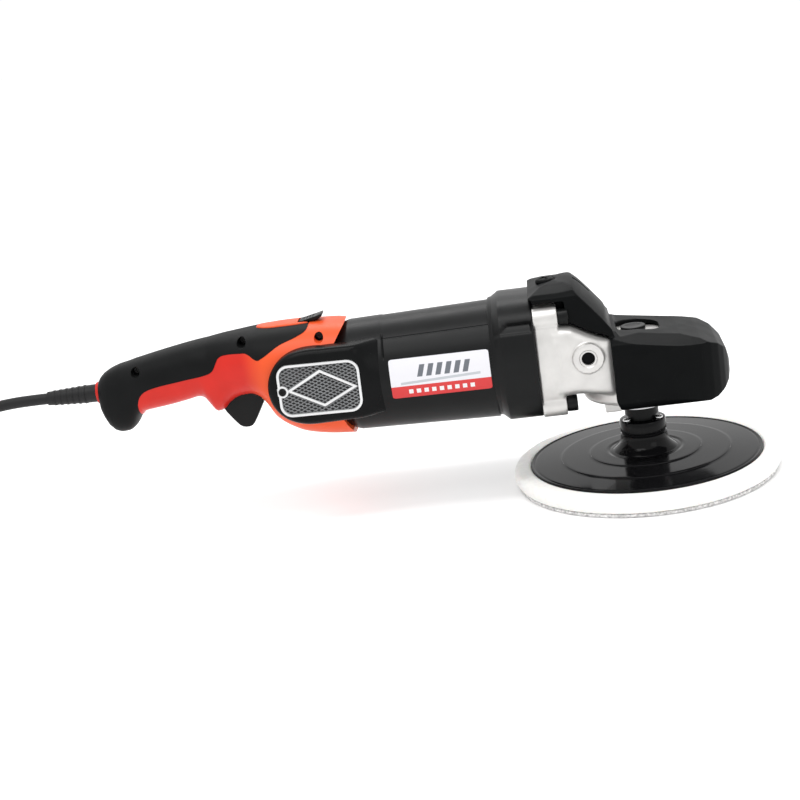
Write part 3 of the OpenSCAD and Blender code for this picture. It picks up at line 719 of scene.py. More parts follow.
def coil_points():
    """The coiled stretch: three layers of three turns, and the start of a fourth layer."""
    last = 10 + (360 - 57.4) / 360
    shift = 0.14
    points = []
    for t in np.arange(0.03, last, 1 / 48):
        turn = int(t)
        radius, height = coil_turn(turn)
        if turn > 0 and t - turn < shift:
            before = coil_turn(turn - 1)
            share = float(ramp(t - turn, 0, shift))
            radius = before[0] + (radius - before[0]) * share
            height = before[1] + (height - before[1]) * share
        if t > last - 0.12:
            radius += (42.7 - radius) * float(ramp(t, last - 0.12, last))
        angle = -math.pi / 2 - 2 * math.pi * t
        points.append((COIL_AT[0] + radius * math.cos(angle),
                       COIL_AT[1] + radius * math.sin(angle), height))
    return points


def spline_through(points, step=3.0):
    """Points every few millimetres along a smooth line through the given points."""
    p = np.array(points, float)
    ext = np.vstack([2 * p[0] - p[1], p, 2 * p[-1] - p[-2]])
    out = []
    for i in range(1, len(ext) - 2):
        a, b, c, d = ext[i - 1:i + 3]
        count = max(1, int(np.linalg.norm(c - b) / step))
        for t in np.linspace(0, 1, count, endpoint=False):
            out.append(0.5 * (2 * b + (c - a) * t + (2 * a - 5 * b + 4 * c - d) * t * t
                              + (3 * b - a - 3 * c + d) * t**3))
    out.append(ext[-2])
    return out


def build_cord():
    route = spline_through(LEAD + coil_points() + LEAD_OUT)
    curve = bpy.data.curves.new("Mains_cord", "CURVE")
    curve.dimensions = "3D"
    curve.bevel_depth = sizes().cord_diameter / 2
    curve.bevel_resolution = 5
    curve.use_fill_caps = True
    line = curve.splines.new("POLY")
    line.points.add(len(route) - 1)
    for point, place in zip(line.points, route):
        point.co = (*(np.array(place) * MM), 1)
    cord = bpy.data.objects.new("Mains_cord", curve)
    bpy.context.scene.collection.objects.link(cord)
    finish_piece(cord, "housing", FINISH["cord"], ["cord", "cord_coil"])
    return cord


def build_plug():
    """A plain moulded plug with finger ribs, its two pins, and the strap round the coil."""
    place = Matrix.Translation(Vector(LEAD_OUT[-1]) * MM) @ Matrix.Rotation(PLUG_TURN, 4, "Z") \
        @ Matrix.Rotation(math.pi / 2, 4, "Y")
    body = lathe("Plug_body", rounded([
        (3.75, -0.5), (4.6, 0), (5.2, 6), (6.4, 10), (9.2, 16), (9.4, 18), (8.5, 19.2), (8.5, 20.4),
        (9.6, 21.4), (9.6, 22.8), (8.7, 23.8), (8.7, 25), (9.8, 26), (10, 33), (9, 36), (3.75, 36)],
        0.6), 96)
    fill = lathe("Core", [(0, 0.2), (3.9, 0.2), (3.9, 35.9), (0, 35.9)], 32)
    body = join("Plug_body", [body, fill])
    move(body, place)
    finish_piece(body, "housing", FINISH["cord"], ["plug_body"])
    pins = []
    for side in (-5, 5):
        pin = lathe("Pin", rounded([(0, 35.5), (2.4, 35.5), (2.4, 50), (0, 50)], 0.8), 40)
        pins.append(move(pin, place @ Matrix.Translation((0, side * MM, 0))))
    pins = join("Plug_pins", pins)
    finish_piece(pins, "housing", FINISH["brass"], ["plug_pins"])
    low, high = box_mm("cord_tie")
    frame_out = rounded([(low[0], low[2] + 0.15), (high[0], low[2] + 0.15), (high[0], high[2]),
                         (low[0], high[2])], 2.2, 6)
    frame_in = rounded([(low[0] + 1, low[2] + 1), (high[0] - 1, low[2] + 1),
                        (high[0] - 1, high[2] - 1), (low[0] + 1, high[2] - 1)], 1.6, 6)
    rings = []
    for y, inset in ((low[1], 0.35), (low[1] + 0.4, 0.0), (high[1] - 0.4, 0.0), (high[1], 0.35)):
        middle = np.array([(low[0] + high[0]) / 2, (low[2] + high[2]) / 2])
        ring = []
        for x, z in frame_out:
            d = middle - np.array([x, z])
            p = np.array([x, z]) + d / np.linalg.norm(d) * inset
            ring.append((p[0], y, p[1]))
        rings.append(ring)
    inner = []
    for y in (high[1], low[1]):
        inner.append([(x, y, z) for x, z in frame_in])
    tie = skin_rings("Cord_tie", rings + inner + [rings[0]], ends=False)
    finish_piece(tie, "housing", FINISH["grip"], ["cord_tie"])
    return [body, pins, tie]


def build_boot():
    """Ribbed strain relief and the ring round its root."""
    end, root = CORD_END_X, box_mm("cord_boot")[1][0]
    profile = [(3.8, end), (4.6, end), (5.2, end + 12), (5.9, end + 26), (6.2, root - 15.4),
               (8, root - 15.4), (8, root - 11.6), (3.8, root - 11.6)]
    boot = lathe("Boot_body", rounded(profile, 0.7), 72)
    place = Matrix.Translation((0, 0, CORD_Z * MM)) @ Matrix.Rotation(math.pi / 2, 4, "Y")
    move(boot, place)
    rib = lathe("Rib", rounded([(0.72, -0.9), (1.06, -0.75), (1.06, 0.75), (0.72, 0.9)], 0.3), 56)
    ribs = []
    for k in range(6):
        x = end + 5 + 4.2 * k
        radius = float(np.interp(x, [end, end + 12, end + 26], [4.6, 5.2, 5.9]))
        ribs.append(((x, 0, CORD_Z), (0, math.pi / 2, 0), (radius, radius, 1)))
    ribs = repeat("Boot_ribs", rib, ribs, FINISH["cord"])
    boot = join("Cord_boot", [boot, ribs])
    finish_piece(boot, "housing", FINISH["cord"], ["cord_boot"])
    low, high = box_mm("boot_ring")
    ring = lathe("Boot_ring", rounded([(6.2, low[0]), (7.1, low[0]), (7.5, high[0]), (6.2, high[0])],
                                      0.5), 72)
    move(ring, place)
    finish_piece(ring, "housing", FINISH["red"], ["boot_ring"])


# ---------------------------------------------------------------- tail
# Stations: x, top, bottom, half-width
TAIL = [(-354.6, 101, 90, 6), (-354.3, 104.5, 87, 9), (-353.6, 107, 83.4, 11.5),
        (-352.2, 109, 79.6, 13.5), (-350, 111, 75.2, 15.5), (-346.8, 112.8, 72, 17.5),
        (-342.2, 114.6, 70.6, 18.8), (-338, 115.8, 71, 19.4), (-333.5, 116.6, 73.8, 19.7),
        (-330.5, 117.3, 78, 19.9),
        (-328.3, 117.8, 81.6, 20), (-325, 118.4, 83, 20), (-318, 119.8, 84, 20),
        (-306, 122, 85.4, 20), (-294, 124, 87.4, 20.4), (-287, 125, 88.6, 21),
        (-283, 125.5, 87.2, 21.4), (-279, 126, 81, 22), (-276, 126.4, 77, 22.4),
        (-272, 127, 78, 23.2), (-267, 127.6, 82.6, 24), (-259, 128.3, 86.4, 25.6),
        (-252, 128.9, 87, 27.2), (-246, 129.4, 84.6, 29), (-241, 129.8, 78.5, 30.6),
        (-236, 129.8, 69, 32), (-226, 130, 61, 33.4), (-218, 130, 57.2, 34),
        (-200, 129.7, 53.6, 34.2), (-190, 129, 52.8, 34.4), (-185, 128, 52.4, 34.4),
        (-180, 126.6, 52.2, 34.4)]
POWER = 2.5
# Lower edge of the soft grip, seen from the side: x and z
GRIP_EDGE = [(-327.4, 77), (-327, 86), (-326.2, 91.6), (-324, 96.4), (-320.5, 99.4),
             (-315, 101.2), (-295, 104), (-276, 107), (-272.6, 109), (-270.2, 112.8),
             (-268, 116.4), (-264.5, 118.2), (-257, 118.8), (-250, 118.8), (-246.5, 117.4),
             (-243.4, 114.8), (-241, 113.8), (-238, 115), (-226, 121.4), (-214, 125),
             (-208.5, 127.6), (-207, 131)]
SCREW_AT = [(-324.8, 112.6), (-251.4, 124.4), (-200.4, 122.6)]


def bent(v):
    return np.sign(v) * np.abs(v) ** (2 / POWER)


def tail_station(x):
    """Top, bottom and half-width of the tail at x."""
    xs = [s[0] for s in TAIL]
    return [float(smooth_line(xs, [s[k] for s in TAIL], x)) for k in (1, 2, 3)]


def tail_points(x, angles, depth):
    """Points on the tail's section at x, at the angles, pushed inwards by depth."""
    top, bottom, half = tail_station(x)
    high = (top - bottom) / 2
    y = -np.maximum(half - depth, 0.2) * bent(np.cos(angles))
    z = (top + bottom) / 2 + np.maximum(high - depth, 0.2) * bent(np.sin(angles))
    return np.stack([np.full(len(angles), x), y, z], 1)


def grip_edge(count=260):
    """Lower edge of the soft grip, seen from the side."""
    xs = np.linspace(GRIP_EDGE[0][0], GRIP_EDGE[-1][0], count)
    zs = smooth_line([e[0] for e in GRIP_EDGE], [e[1] for e in GRIP_EDGE], xs)
    return list(zip(xs, zs))


def tail_solid(name, start, end, depth):
    """The tail between two stations, as one closed solid."""
    angles = np.linspace(0, 2 * math.pi, 150, endpoint=False)
    stops = [s[0] for s in TAIL if start < s[0] < start + 8]
    stops += list(np.arange(max(start, TAIL[0][0] + 8), end, 1.2)) + [end]
    return skin_rings(name, [tail_points(x, angles, depth) for x in [start] + stops])


def screw_wells():
    """Cutters for the recessed screws on both flanks."""
    cutters = []
    for x, z in SCREW_AT:
        for side in (-1, 1):
            y = side * tail_station(x)[2] * 0.2
            cutters.append(round_bar("Well", (x, y, z), (x, side * 40, z), 3.1, 40))
    return cutters


def build_tail():
    grip = tail_solid("Soft_grip", -354.6, -205, 0.0)
    under = grip_edge() + [(-200, 134), (-200, 40), (GRIP_EDGE[0][0], 40)]
    carve(grip, [side_solid("Under", under, 45)] + screw_wells())
    finish_piece(grip, "housing", FINISH["grip"],
                 ["grip_overmould_left", "grip_overmould_right"])
    shell = tail_solid("Tail_shell", -331, -180.8, 0.2)
    keep = [(x, z + 0.4) for x, z in grip_edge()] + [(-207, 140), (-178, 140), (-178, 40),
                                                     (GRIP_EDGE[0][0] - 0.4, 40)]
    carve(shell, [side_solid("Keep", keep, 45)], "INTERSECT")
    front = [(-180, 134), (-181.4, 131.4), (-186.6, 124.6), (-191.4, 117.6), (-193, 110),
             (-193, 74), (-190, 64), (-187.4, 58), (-186.6, 48), (-178, 48), (-178, 134)]
    carve(shell, [bar("Slot", (-276.2, -7.4, 60), (-243.6, 7.4, 97)),
                  side_solid("Front", front, 45)] + screw_wells())
    finish_piece(shell, "housing", FINISH["shell"],
                 ["tail_shell_left", "tail_shell_right"])
    place_tail_screws()


def place_tail_screws():
    """Recessed cross-head screws and the dark wells round them."""
    wells, screws = [], []
    for x, z in SCREW_AT:
        top, bottom, half = tail_station(x)
        share = (z + 3.4 - (top + bottom) / 2) / ((top - bottom) / 2)
        flank = half * (1 - share**POWER) ** (1 / POWER)
        for side in (-1, 1):
            turn = (-side * math.pi / 2, 0, 0)
            wells.append(((x, side * (flank - 4.6), z), turn, (1, 1, 1)))
            screws.append(((x, side * (flank - 4.5), z), turn, (1, 1, 1)))
    cup = lathe("Cup", [(0, -1), (3.05, -1), (3.05, 4.2), (2.75, 4.2), (2.75, 0), (0, 0)], 40)
    cups = repeat("Screw_wells", cup, wells, FINISH["black"])
    finish_piece(cups, "housing", FINISH["black"])
    heads = repeat("Handle_screws", cross_screw(2.6, 1.8), screws, FINISH["carbon"])
    finish_piece(heads, "housing", FINISH["carbon"], ["handle_screws"])


def build_top_strip():
    """The strip on top of the tail, with the lock slider between its halves; its orange is the tail finish's
    painted highlight.
    """
    outline = []
    for a in np.linspace(0, 2 * math.pi, 64, endpoint=False):
        outline.append((-223 + 20.5 * bent(math.cos(a)), 8.4 * bent(math.sin(a))))
    rings = []
    for inset, lift in ((0, -2.5), (0, 0.15), (0.25, 0.6), (0.8, 0.85), (2.5, 0.95), (5, 1.0)):
        ring = []
        for x, y in outline:
            x = -223 + (x + 223) * (1 - inset / 20.5)
            y = y * (1 - inset / 8.4)
            top, bottom, half = tail_station(x)
            z = (top + bottom) / 2 + (top - bottom) / 2 * (1 - abs(y / half) ** POWER) ** (1 / POWER)
            ring.append((x, y, z + lift))
        rings.append(ring)
    strip = skin_rings("Top_strip", rings)
    low, high = box_mm("lock_slider")
    carve(strip, [bar("Track", (low[0] - 0.7, -6.6, 120), (high[0] + 8, 6.6, 140))])
    finish_piece(strip, "housing", FINISH["shell"])


def build_slider():
    """Trigger lock: a ribbed tab whose front end rises."""
    low, high = box_mm("lock_slider")
    x0, x1, z1 = low[0], high[0], high[2] - 1.6
    outline = [(x0, 130.2), (x0 + 0.6, 130.9), (x0 + 4, 131.4), (x0 + 8, 132.3), (x1 - 3, z1 - 0.7),
               (x1 - 0.6, z1), (x1, z1 - 0.6), (x1 - 0.4, z1 - 1.6), (x1 - 3.6, 130.2)]
    tab = side_solid("Lock_slider", outline, 5.4)
    cuts = [side_solid("Rib", [(x, z + 2), (x + 0.9, z + 2), (x + 0.9, z), (x, z)], 4.6)
            for x, z in ((x0 + 3, 130.9), (x0 + 5, 131.2), (x0 + 7, 131.7), (x0 + 9, 132.2))]
    carve(tab, cuts)
    ease_edges(tab, 0.35, 2)
    stem = bar("Stem", (x0 + 3.5, -2.8, 125), (x0 + 10.5, 2.8, 130.6))
    tab = join("Lock_slider", [tab, stem])
    finish_piece(tab, "lock_slider", FINISH["black"], ["lock_slider"])


def build_trigger():
    """Trigger: its side outline pulled out to both sides, edges eased, with the pin hole."""
    outline = [(-273.2, 79.6), (-271.6, 76), (-268.6, 71.6), (-265.9, 67.9), (-264, 65.7),
               (-262.2, 64.5), (-260, 64), (-257.6, 64), (-255.6, 64.7), (-254, 66.3),
               (-251.8, 69.8), (-248.6, 75.2), (-245.8, 80), (-245.4, 83), (-245.6, 92),
               (-248, 95.3), (-254, 95.3), (-270, 88), (-273.2, 84.2)]
    trigger = side_solid("Trigger", outline, 6.4)
    cuts = [round_bar("Pin_hole", (-250, -20, 91), (-250, 20, 91), 2.05)]
    ease_edges(trigger, 1.1, 4)
    carve(trigger, cuts)
    finish_piece(trigger, "trigger", FINISH["black"], ["trigger"])


# ---------------------------------------------------------------- pods and vents
POD_MIDDLE = (-206.0, 94.0)
POD_FRONT = -160.5
GRILLE_AT = (-202.4, 93.4)
GRILLE_SIZE = (53.5, 34.5)


def pod_outline(count=120):
    """Outline of the black side panel: a round back and nearly straight edges to the front."""
    cx, cz = POD_MIDDLE
    back = [(cx + 30 * math.copysign(abs(math.cos(a)) ** 0.82, math.cos(a)), cz + 25 * math.sin(a))
            for a in np.linspace(math.radians(80), math.radians(270), count)]
    low = [(x, 69 + 0.02 * (x - cx)) for x in np.linspace(cx + 3, POD_FRONT, 26)]
    front = [(POD_FRONT, z) for z in np.linspace(71, 117.5, 30)]
    top = [(x, 118.4 + 0.3 * float(ramp(-x, 160, 201))) for x in np.linspace(POD_FRONT, cx + 8, 26)]
    return back + low + front + top


def pod_face(x, z):
    """Distance of the panel's face from the centre plane."""
    flat = 40.4 - 2.2 * (abs(z - 95) / 27) ** 3
    radius = barrel_radius(x)
    round_face = math.sqrt(max(radius**2 - (z - MOTOR_Z) ** 2, 0)) + 0.35
    share = float(ramp(x, -180, -161))
    return flat + (round_face - flat) * share


def build_pods():
    outline = pod_outline()
    middle = np.array([-196.0, 95.0])
    for side, tag in ((-1, "right"), (1, "left")):
        rings = []
        for inset, sink in ((0, 12.0), (0, 4.2), (0.3, 2.9), (0.9, 1.9), (1.8, 1.1), (3, 0.5),
                            (4.4, 0.15), *((0.25 + k * 0.06, 0.0) for k in range(12))):
            ring = []
            for x, z in outline:
                d = middle - np.array([x, z])
                length = np.linalg.norm(d)
                inset_here = inset * length if sink == 0 else inset
                p = np.array([x, z]) + d / length * inset_here
                y = pod_face(p[0], p[1])
                ring.append((p[0], side * (y - sink), p[1]))
            rings.append(ring)
        pod = skin_rings("Side_pod_" + tag, rings)
        well = at_vent(rounded_slab(GRILLE_SIZE[0] + 0.8, GRILLE_SIZE[1] + 0.8, 8.4, 0, 8), side,
                       36.4)
        carve(pod, [well])
        finish_piece(pod, "housing", FINISH["pod"], ["side_pod_" + tag])
        build_vent(side, tag)


def slab_outline(length, width, radius, steps=10):
    """Rounded rectangle, anticlockwise."""
    points = []
    for k, (sx, sy) in enumerate(((1, 1), (-1, 1), (-1, -1), (1, -1))):
        for a in np.linspace(k * math.pi / 2, (k + 1) * math.pi / 2, steps):
            points.append((sx * (length / 2 - radius) + radius * math.cos(a),
                           sy * (width / 2 - radius) + radius * math.sin(a)))
    return points


def rounded_slab(length, width, radius, low, high):
    outline = slab_outline(length, width, radius)
    return skin_rings("Slab", [[(x, y, z) for x, y in outline] for z in (low, high)])


def at_vent(obj, side, y):
    """Stands an object made flat in X and Y upright on the flank, its +Z facing outwards.
    The vents lean a little with the tail."""
    lean = Matrix.Rotation(math.radians(1.2) , 4, "Y")
    turn = Matrix.Rotation(math.radians(90), 4, "X")
    if side > 0:
        turn = Matrix.Scale(-1, 4, (0, 1, 0)) @ turn
    place = Matrix.Translation((GRILLE_AT[0] * MM, side * y * MM, GRILLE_AT[1] * MM))
    move(obj, place @ lean @ turn)
    if side > 0:
        obj.data.flip_normals()
    return obj


def strand_places(angle, pitch, length, width, radius):
    """Centre, turn and length of each strand of one direction, kept inside the vent's frame."""
    direction = np.array([math.cos(angle), math.sin(angle)])
    across = np.array([-direction[1], direction[0]])
    places = []
    reach = math.hypot(length, width) / 2
    for k in range(int(-reach / pitch), int(reach / pitch) + 1):
        along = np.linspace(-reach, reach, 500)
        p = across * k * pitch + direction * along[:, None]
        dx = np.maximum(np.abs(p[:, 0]) - (length / 2 - radius), 0)
        dy = np.maximum(np.abs(p[:, 1]) - (width / 2 - radius), 0)
        inside = along[np.hypot(dx, dy) < radius]
        if len(inside) > 4:
            centre = across * k * pitch + direction * (inside[0] + inside[-1]) / 2
            places.append(((*centre, 0), (0, 0, angle), (inside[-1] - inside[0], 1, 1)))
    return places


def ring_frame(outline_out, outline_in, low, high, ease):
    """A flat frame between two outlines of equal length, its outer edges eased."""
    o, i = np.array(outline_out, float), np.array(outline_in, float)
    gap = i - o
    gap /= np.linalg.norm(gap, axis=1)[:, None]

    def level(points, z):
        return [(x, y, z) for x, y in points]

    rings = [level(o, low), level(o, high - ease), level(o + gap * ease * 0.3, high - ease * 0.3),
             level(o + gap * ease, high), level(i - gap * ease, high),
             level(i - gap * ease * 0.3, high - ease * 0.3), level(i, high - ease), level(i, low)]
    return skin_rings("Frame", rings + [rings[0]], ends=False)


def build_vent(side, tag):
    length, width = GRILLE_SIZE
    pitch = sizes().mesh_pitch / MM
    lean = math.radians(28)
    parts = []
    for angle in (lean, -lean):
        strand = bar("Strand", (-0.5, -0.3, -0.3), (0.5, 0.3, 0.3))
        ease_edges(strand, 0.1, 1)
        parts.append(repeat("Strands", strand, strand_places(angle, pitch, length - 3.2,
                                                             width - 3.2, 6.4), FINISH["mesh"]))
    mesh = at_vent(join("Vent_mesh_" + tag, parts), side, 38.9)
    finish_piece(mesh, "housing", FINISH["mesh"])
    parts = []
    frame_part = ring_frame(slab_outline(length, width, 8), slab_outline(length - 3.6, width - 3.6, 6.2),
                            -1.2, 1.3, 0.5)
    parts.append(frame_part)
    outer = [(24.6, -0.7), (1.4, 12.4), (-21.2, 0.1), (2.2, -12.2)]
    inner = [(1.7 + (x - 1.7) * 0.86, y * 0.84) for x, y in outer]
    parts.append(ring_frame(outer, inner, -0.5, 1.0, 0.3))
    vent = join("Vent_grille_" + tag, parts)
    at_vent(vent, side, 38.9)
    finish_piece(vent, "housing", FINISH["silver"], ["vent_grille_" + tag])
    backing = at_vent(rounded_slab(length - 1, width - 1, 7.6, -1.9, -1.3), side, 38.9)
    backing.name = "Vent_backing_" + tag
    finish_piece(backing, "housing", FINISH["carbon"])


def build_vent_screws():
    """The screw and its lug at the back end of each vent."""
    x, z = -226.4, GRILLE_AT[1] + 0.4
    lugs, heads = [], []
    for side in (-1, 1):
        turn = (-side * math.pi / 2, 0, 0)
        lugs.append(((x, side * 38.8, z), turn, (1, 1, 1)))
        heads.append(((x, side * 40.0, z), turn, (1, 1, 1)))
    lug = lathe("Lug", rounded([(0, -1), (3.9, -1), (3.9, 1.3), (2.6, 1.3), (2.6, 0.9), (0, 0.9)],
                               0.25), 48)
    lugs = repeat("Vent_lugs", lug, lugs, FINISH["silver"])
    finish_piece(lugs, "housing", FINISH["silver"])
    heads = repeat("Vent_screws", cross_screw(2.4, 1.1), heads, FINISH["black"])
    finish_piece(heads, "housing", FINISH["black"], ["grille_screws"])


# ---------------------------------------------------------------- motor barrel and collar
def barrel_radius(x):
    share = (x + 181) / 90
    return sizes().barrel_rear / MM + share * (sizes().barrel_front - sizes().barrel_rear) / MM


def groove(distance, width):
    """Depth share of a round-bottomed line, at a distance from its middle."""
    return np.exp(-(distance / width) ** 2)


SEAM_Z = 118.2


def build_barrel():
    depth = sizes().seam_depth / MM
    seam = [math.asin((SEAM_Z - MOTOR_Z) / 38.0)]
    marks = [seam[0], math.pi - seam[0]]
    angles = list(np.linspace(-math.pi, math.pi, 200, endpoint=False))
    for mark in marks:
        angles += [mark + d / 38.0 for d in (-1.3, -0.9, -0.6, -0.3, 0, 0.3, 0.6, 0.9, 1.3)]
    angles = np.array(sorted(angles))
    xs = np.concatenate([np.linspace(-196, -184, 7), np.linspace(-182, -161.5, 16), np.linspace(-161, -159, 9),
                         np.linspace(-158, -92, 50), [-91.3]])
    rings = []
    for x in xs:
        radius = np.full(len(angles), barrel_radius(x) - 2.6 * float(ramp(-x, 182, 190)))
        radius -= 0.35 * ramp(np.sin(angles), 0.74, 0.76) * ramp(x, -162, -160)
        for mark in marks:
            radius -= depth * groove((angles - mark) * 38, 0.45) * float(ramp(x, -161, -159.5))
        side = np.abs(np.cos(angles)) > 0.6
        tall = (np.sin(angles) > 0.45) & side
        radius -= depth * tall * groove(x + 160, 0.5)
        rings.append(np.stack([np.full(len(angles), x), radius * np.cos(angles),
                               MOTOR_Z + radius * np.sin(angles)], 1))
    inner = [np.stack([np.full(len(angles), x), 33 * np.cos(angles),
                       MOTOR_Z + 33 * np.sin(angles)], 1) for x in (-91.3, -196)]
    barrel = skin_rings("Motor_barrel", rings + inner + [rings[0]], ends=False)
    finish_piece(barrel, "housing", FINISH["black"], ["motor_housing"])


def squarish(x, half, power, count=300):
    """A ring at x between a circle (power 2) and a square with round corners."""
    a = np.linspace(0, 2 * math.pi, count, endpoint=False)
    c, s = np.cos(a), np.sin(a)
    reach = half / (np.abs(c) ** power + np.abs(s) ** power) ** (1 / power)
    return np.stack([np.full(count, x), reach * c, MOTOR_Z + reach * s], 1)


def build_collar():
    half = sizes().collar_half / MM
    front = sizes().barrel_front / MM
    stations = [(-91.6, front - 0.9, 2.0), (-91.4, front + 0.4, 2.0), (-90.6, front + 0.9, 2.05),
                (-89, front + 1.1, 2.1), (-88.2, front + 1.5, 2.2), (-85.4, half - 0.4, 2.7),
                (-84.6, half - 0.08, 2.8), (-83.8, half, 2.8)]
    stations += [(x, half, 2.8) for x in np.linspace(-83, -64.8, 24)]
    stations += [(-64.1, half, 2.8), (-63.5, half - 0.15, 2.8), (-63.1, half - 0.6, 2.8),
                 (-63, half - 1.3, 2.8)]
    rings = []
    for x, reach, power in stations:
        ring = squarish(x, reach, power)
        ring[:, 2] = np.where(ring[:, 2] < MOTOR_Z, MOTOR_Z + (ring[:, 2] - MOTOR_Z) * 0.945,
                              ring[:, 2])
        y, z = ring[:, 1], ring[:, 2] - MOTOR_Z
        angle = np.degrees(np.arctan2(z, np.abs(y)))
        back = -89 + 8.6 * np.clip((angle - 31) / 9, 0, 1)
        hollow = ramp(angle, 30.4, 32) * ramp(-angle, -41, -40) * ramp(x - back, 0, 1.6) \
            * ramp(-x, 64.4, 65)
        shrink = 1 - (0.8 + 1.4 * np.clip((angle - 31) / 9, 0, 1)) * hollow / reach
        ring[:, 1] *= shrink
        ring[:, 2] = MOTOR_Z + z * shrink
        rings.append(ring)
    inside = [squarish(x, 33.5, 2.0) for x in (-63, -91.6)]
    collar = skin_rings("Front_collar", rings + inside + [rings[0]], ends=False)
    finish_piece(collar, "housing", FINISH["black"], ["front_collar"])


def build_label():
    low, high = box_mm("label")
    x0, x1 = low[0], high[0]
    z0, z1 = 79.9, 105.1
    rows, columns = 24, 40
    points, faces = [], []
    corner = 1.6
    for lift in (0.32, 0.0):
        for i in range(rows + 1):
            for k in range(columns + 1):
                u, v = k / columns, i / rows
                x, z = x0 + u * (x1 - x0), z0 + v * (z1 - z0)
                edge_x, edge_z = min(x - x0, x1 - x), min(z - z0, z1 - z)
                if edge_x < corner and edge_z < corner:
                    pull = (corner - math.hypot(corner - edge_x, corner - edge_z))
                    if pull < 0:
                        x += math.copysign(-pull * 0.7, (x0 + x1) / 2 - x)
                        z += math.copysign(-pull * 0.7, (z0 + z1) / 2 - z)
                radius = barrel_radius(x) + lift - 0.02
                points.append((x, -math.sqrt(radius**2 - (z - MOTOR_Z) ** 2), z))
    wide = columns + 1
    layer = (rows + 1) * wide
    for i in range(rows):
        for k in range(columns):
            a = i * wide + k
            faces.append((a, a + 1, a + wide + 1, a + wide))
            faces.append((layer + a, layer + a + wide, layer + a + wide + 1, layer + a + 1))
    rim = [k for k in range(wide)] + [i * wide + columns for i in range(1, rows + 1)] \
        + [rows * wide + k for k in range(columns - 1, -1, -1)] \
        + [i * wide for i in range(rows - 1, 0, -1)]
    for k, a in enumerate(rim):
        b = rim[(k + 1) % len(rim)]
        faces.append((b, a, layer + a, layer + b))
    label = make_object("Label", points, faces)
    make_normals_outward(label)
    finish_piece(label, "housing", label_finish((x0, 0, z0), (x1, 0, z1)), ["label"])


# ---------------------------------------------------------------- gear head
def copy_of(node, name):
    """A copy of a frame node's mesh, to be worked on."""
    obj = bpy.data.objects.new(name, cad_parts[node].data.copy())
    bpy.context.scene.collection.objects.link(obj)
    return obj


def build_gear_housing():
    """Cast housing: flange with screw lugs, sloping neck, pot and side-handle bosses."""
    parts = []
    half = 38.3
    parts.append(skin_rings("Flange", [squarish(-63, half - 0.6, 2.9), squarish(-62.2, half, 2.9),
                                       squarish(-49, half, 2.9), squarish(-48.2, half - 0.6, 2.9)]))
    for y in (-28.5, 28.5):
        for z in (-28.5, 28.5):
            parts.append(round_bar("Lug", (-63, y, MOTOR_Z + z), (-47.6, y, MOTOR_Z + z), 7.2))
    neck = [(-52, 113.4, 66.5, 37.8), (-45, 113, 66.8, 37.6), (-40, 112, 67, 37.4),
            (-35, 109.2, 66.6, 37.2), (-30, 106.2, 65.6, 37), (-24, 103.4, 64.4, 36.4),
            (-18, 101.4, 63.4, 35), (-10, 98, 62, 31), (0, 97, 62, 28)]
    rings = []
    for x, top, low, wide in neck:
        a = np.linspace(0, 2 * math.pi, 160, endpoint=False)
        c, s = np.cos(a), np.sin(a)
        reach = 1 / (np.abs(c) ** 8 + np.abs(s) ** 8) ** 0.125
        rings.append(np.stack([np.full(160, x), wide * reach * c,
                               (top + low) / 2 + (top - low) / 2 * reach * s], 1))
    parts.append(skin_rings("Neck", rings))
    parts.append(lathe("Pot", rounded([(0, 57.5), (36, 57.5), (36, 90.6), (29, 93.2), (19, 96),
                                      (0, 96)], 1.5), 128))
    for side in (-1, 1):
        boss = round_bar("Boss", (-31.2, side * 24, 92), (-31.2, side * 40.2, 92), 9.7, 64)
        parts.append(boss)
    housing = join("Gear_housing", parts)
    melt(housing, 0.75, 3, 0.5)
    cuts = [round_bar("Bore", (-31.2, side * 26, 92), (-31.2, side * 44, 92), 4.25, 48)
            for side in (-1, 1)]
    cuts += [round_bar("Dish", (-31.2, side * 39.4, 92), (-31.2, side * 44, 92), 5.2, 48,
                       end_radius=9.2) for side in (-1, 1)]
    cuts.append(lathe("Button_well", [(0, 93.6), (8.6, 93.6), (8.6, 99), (0, 99)], 64))
    carve(housing, cuts)
    # Dark cylinders inside the side bores: painted shade, standing for the shadow deep in the bores.
    bore_shade = join("Bore_shadows", [round_bar("Plug", (-31.2, side * 25, 92), (-31.2, side * 36.6, 92),
                                            4.2, 48) for side in (-1, 1)])
    finish_piece(bore_shade, "housing", FINISH["hood"])
    finish_piece(housing, "housing", FINISH["alu"], ["gear_housing"], sharp=40)
    cover = join("Gear_cover", [
        lathe("Plate", rounded([(0, 56.8), (35.6, 56.8), (35.6, 61), (0, 61)], 0.6), 128),
        lathe("Nose", rounded([(0, 53.6), (18.8, 53.6), (18.8, 58), (0, 58)], 0.8), 96),
        bar("Bearing_box", (-23.5, -17, 48.5), (-13, 17, 60))])
    melt(cover, 0.8, 2, 0.5)
    carve(cover, [lathe("Mouth", [(0, 40), (12.4, 40), (12.4, 62), (0, 62)], 64)])
    finish_piece(cover, "housing", FINISH["alu"], ["gear_cover"])


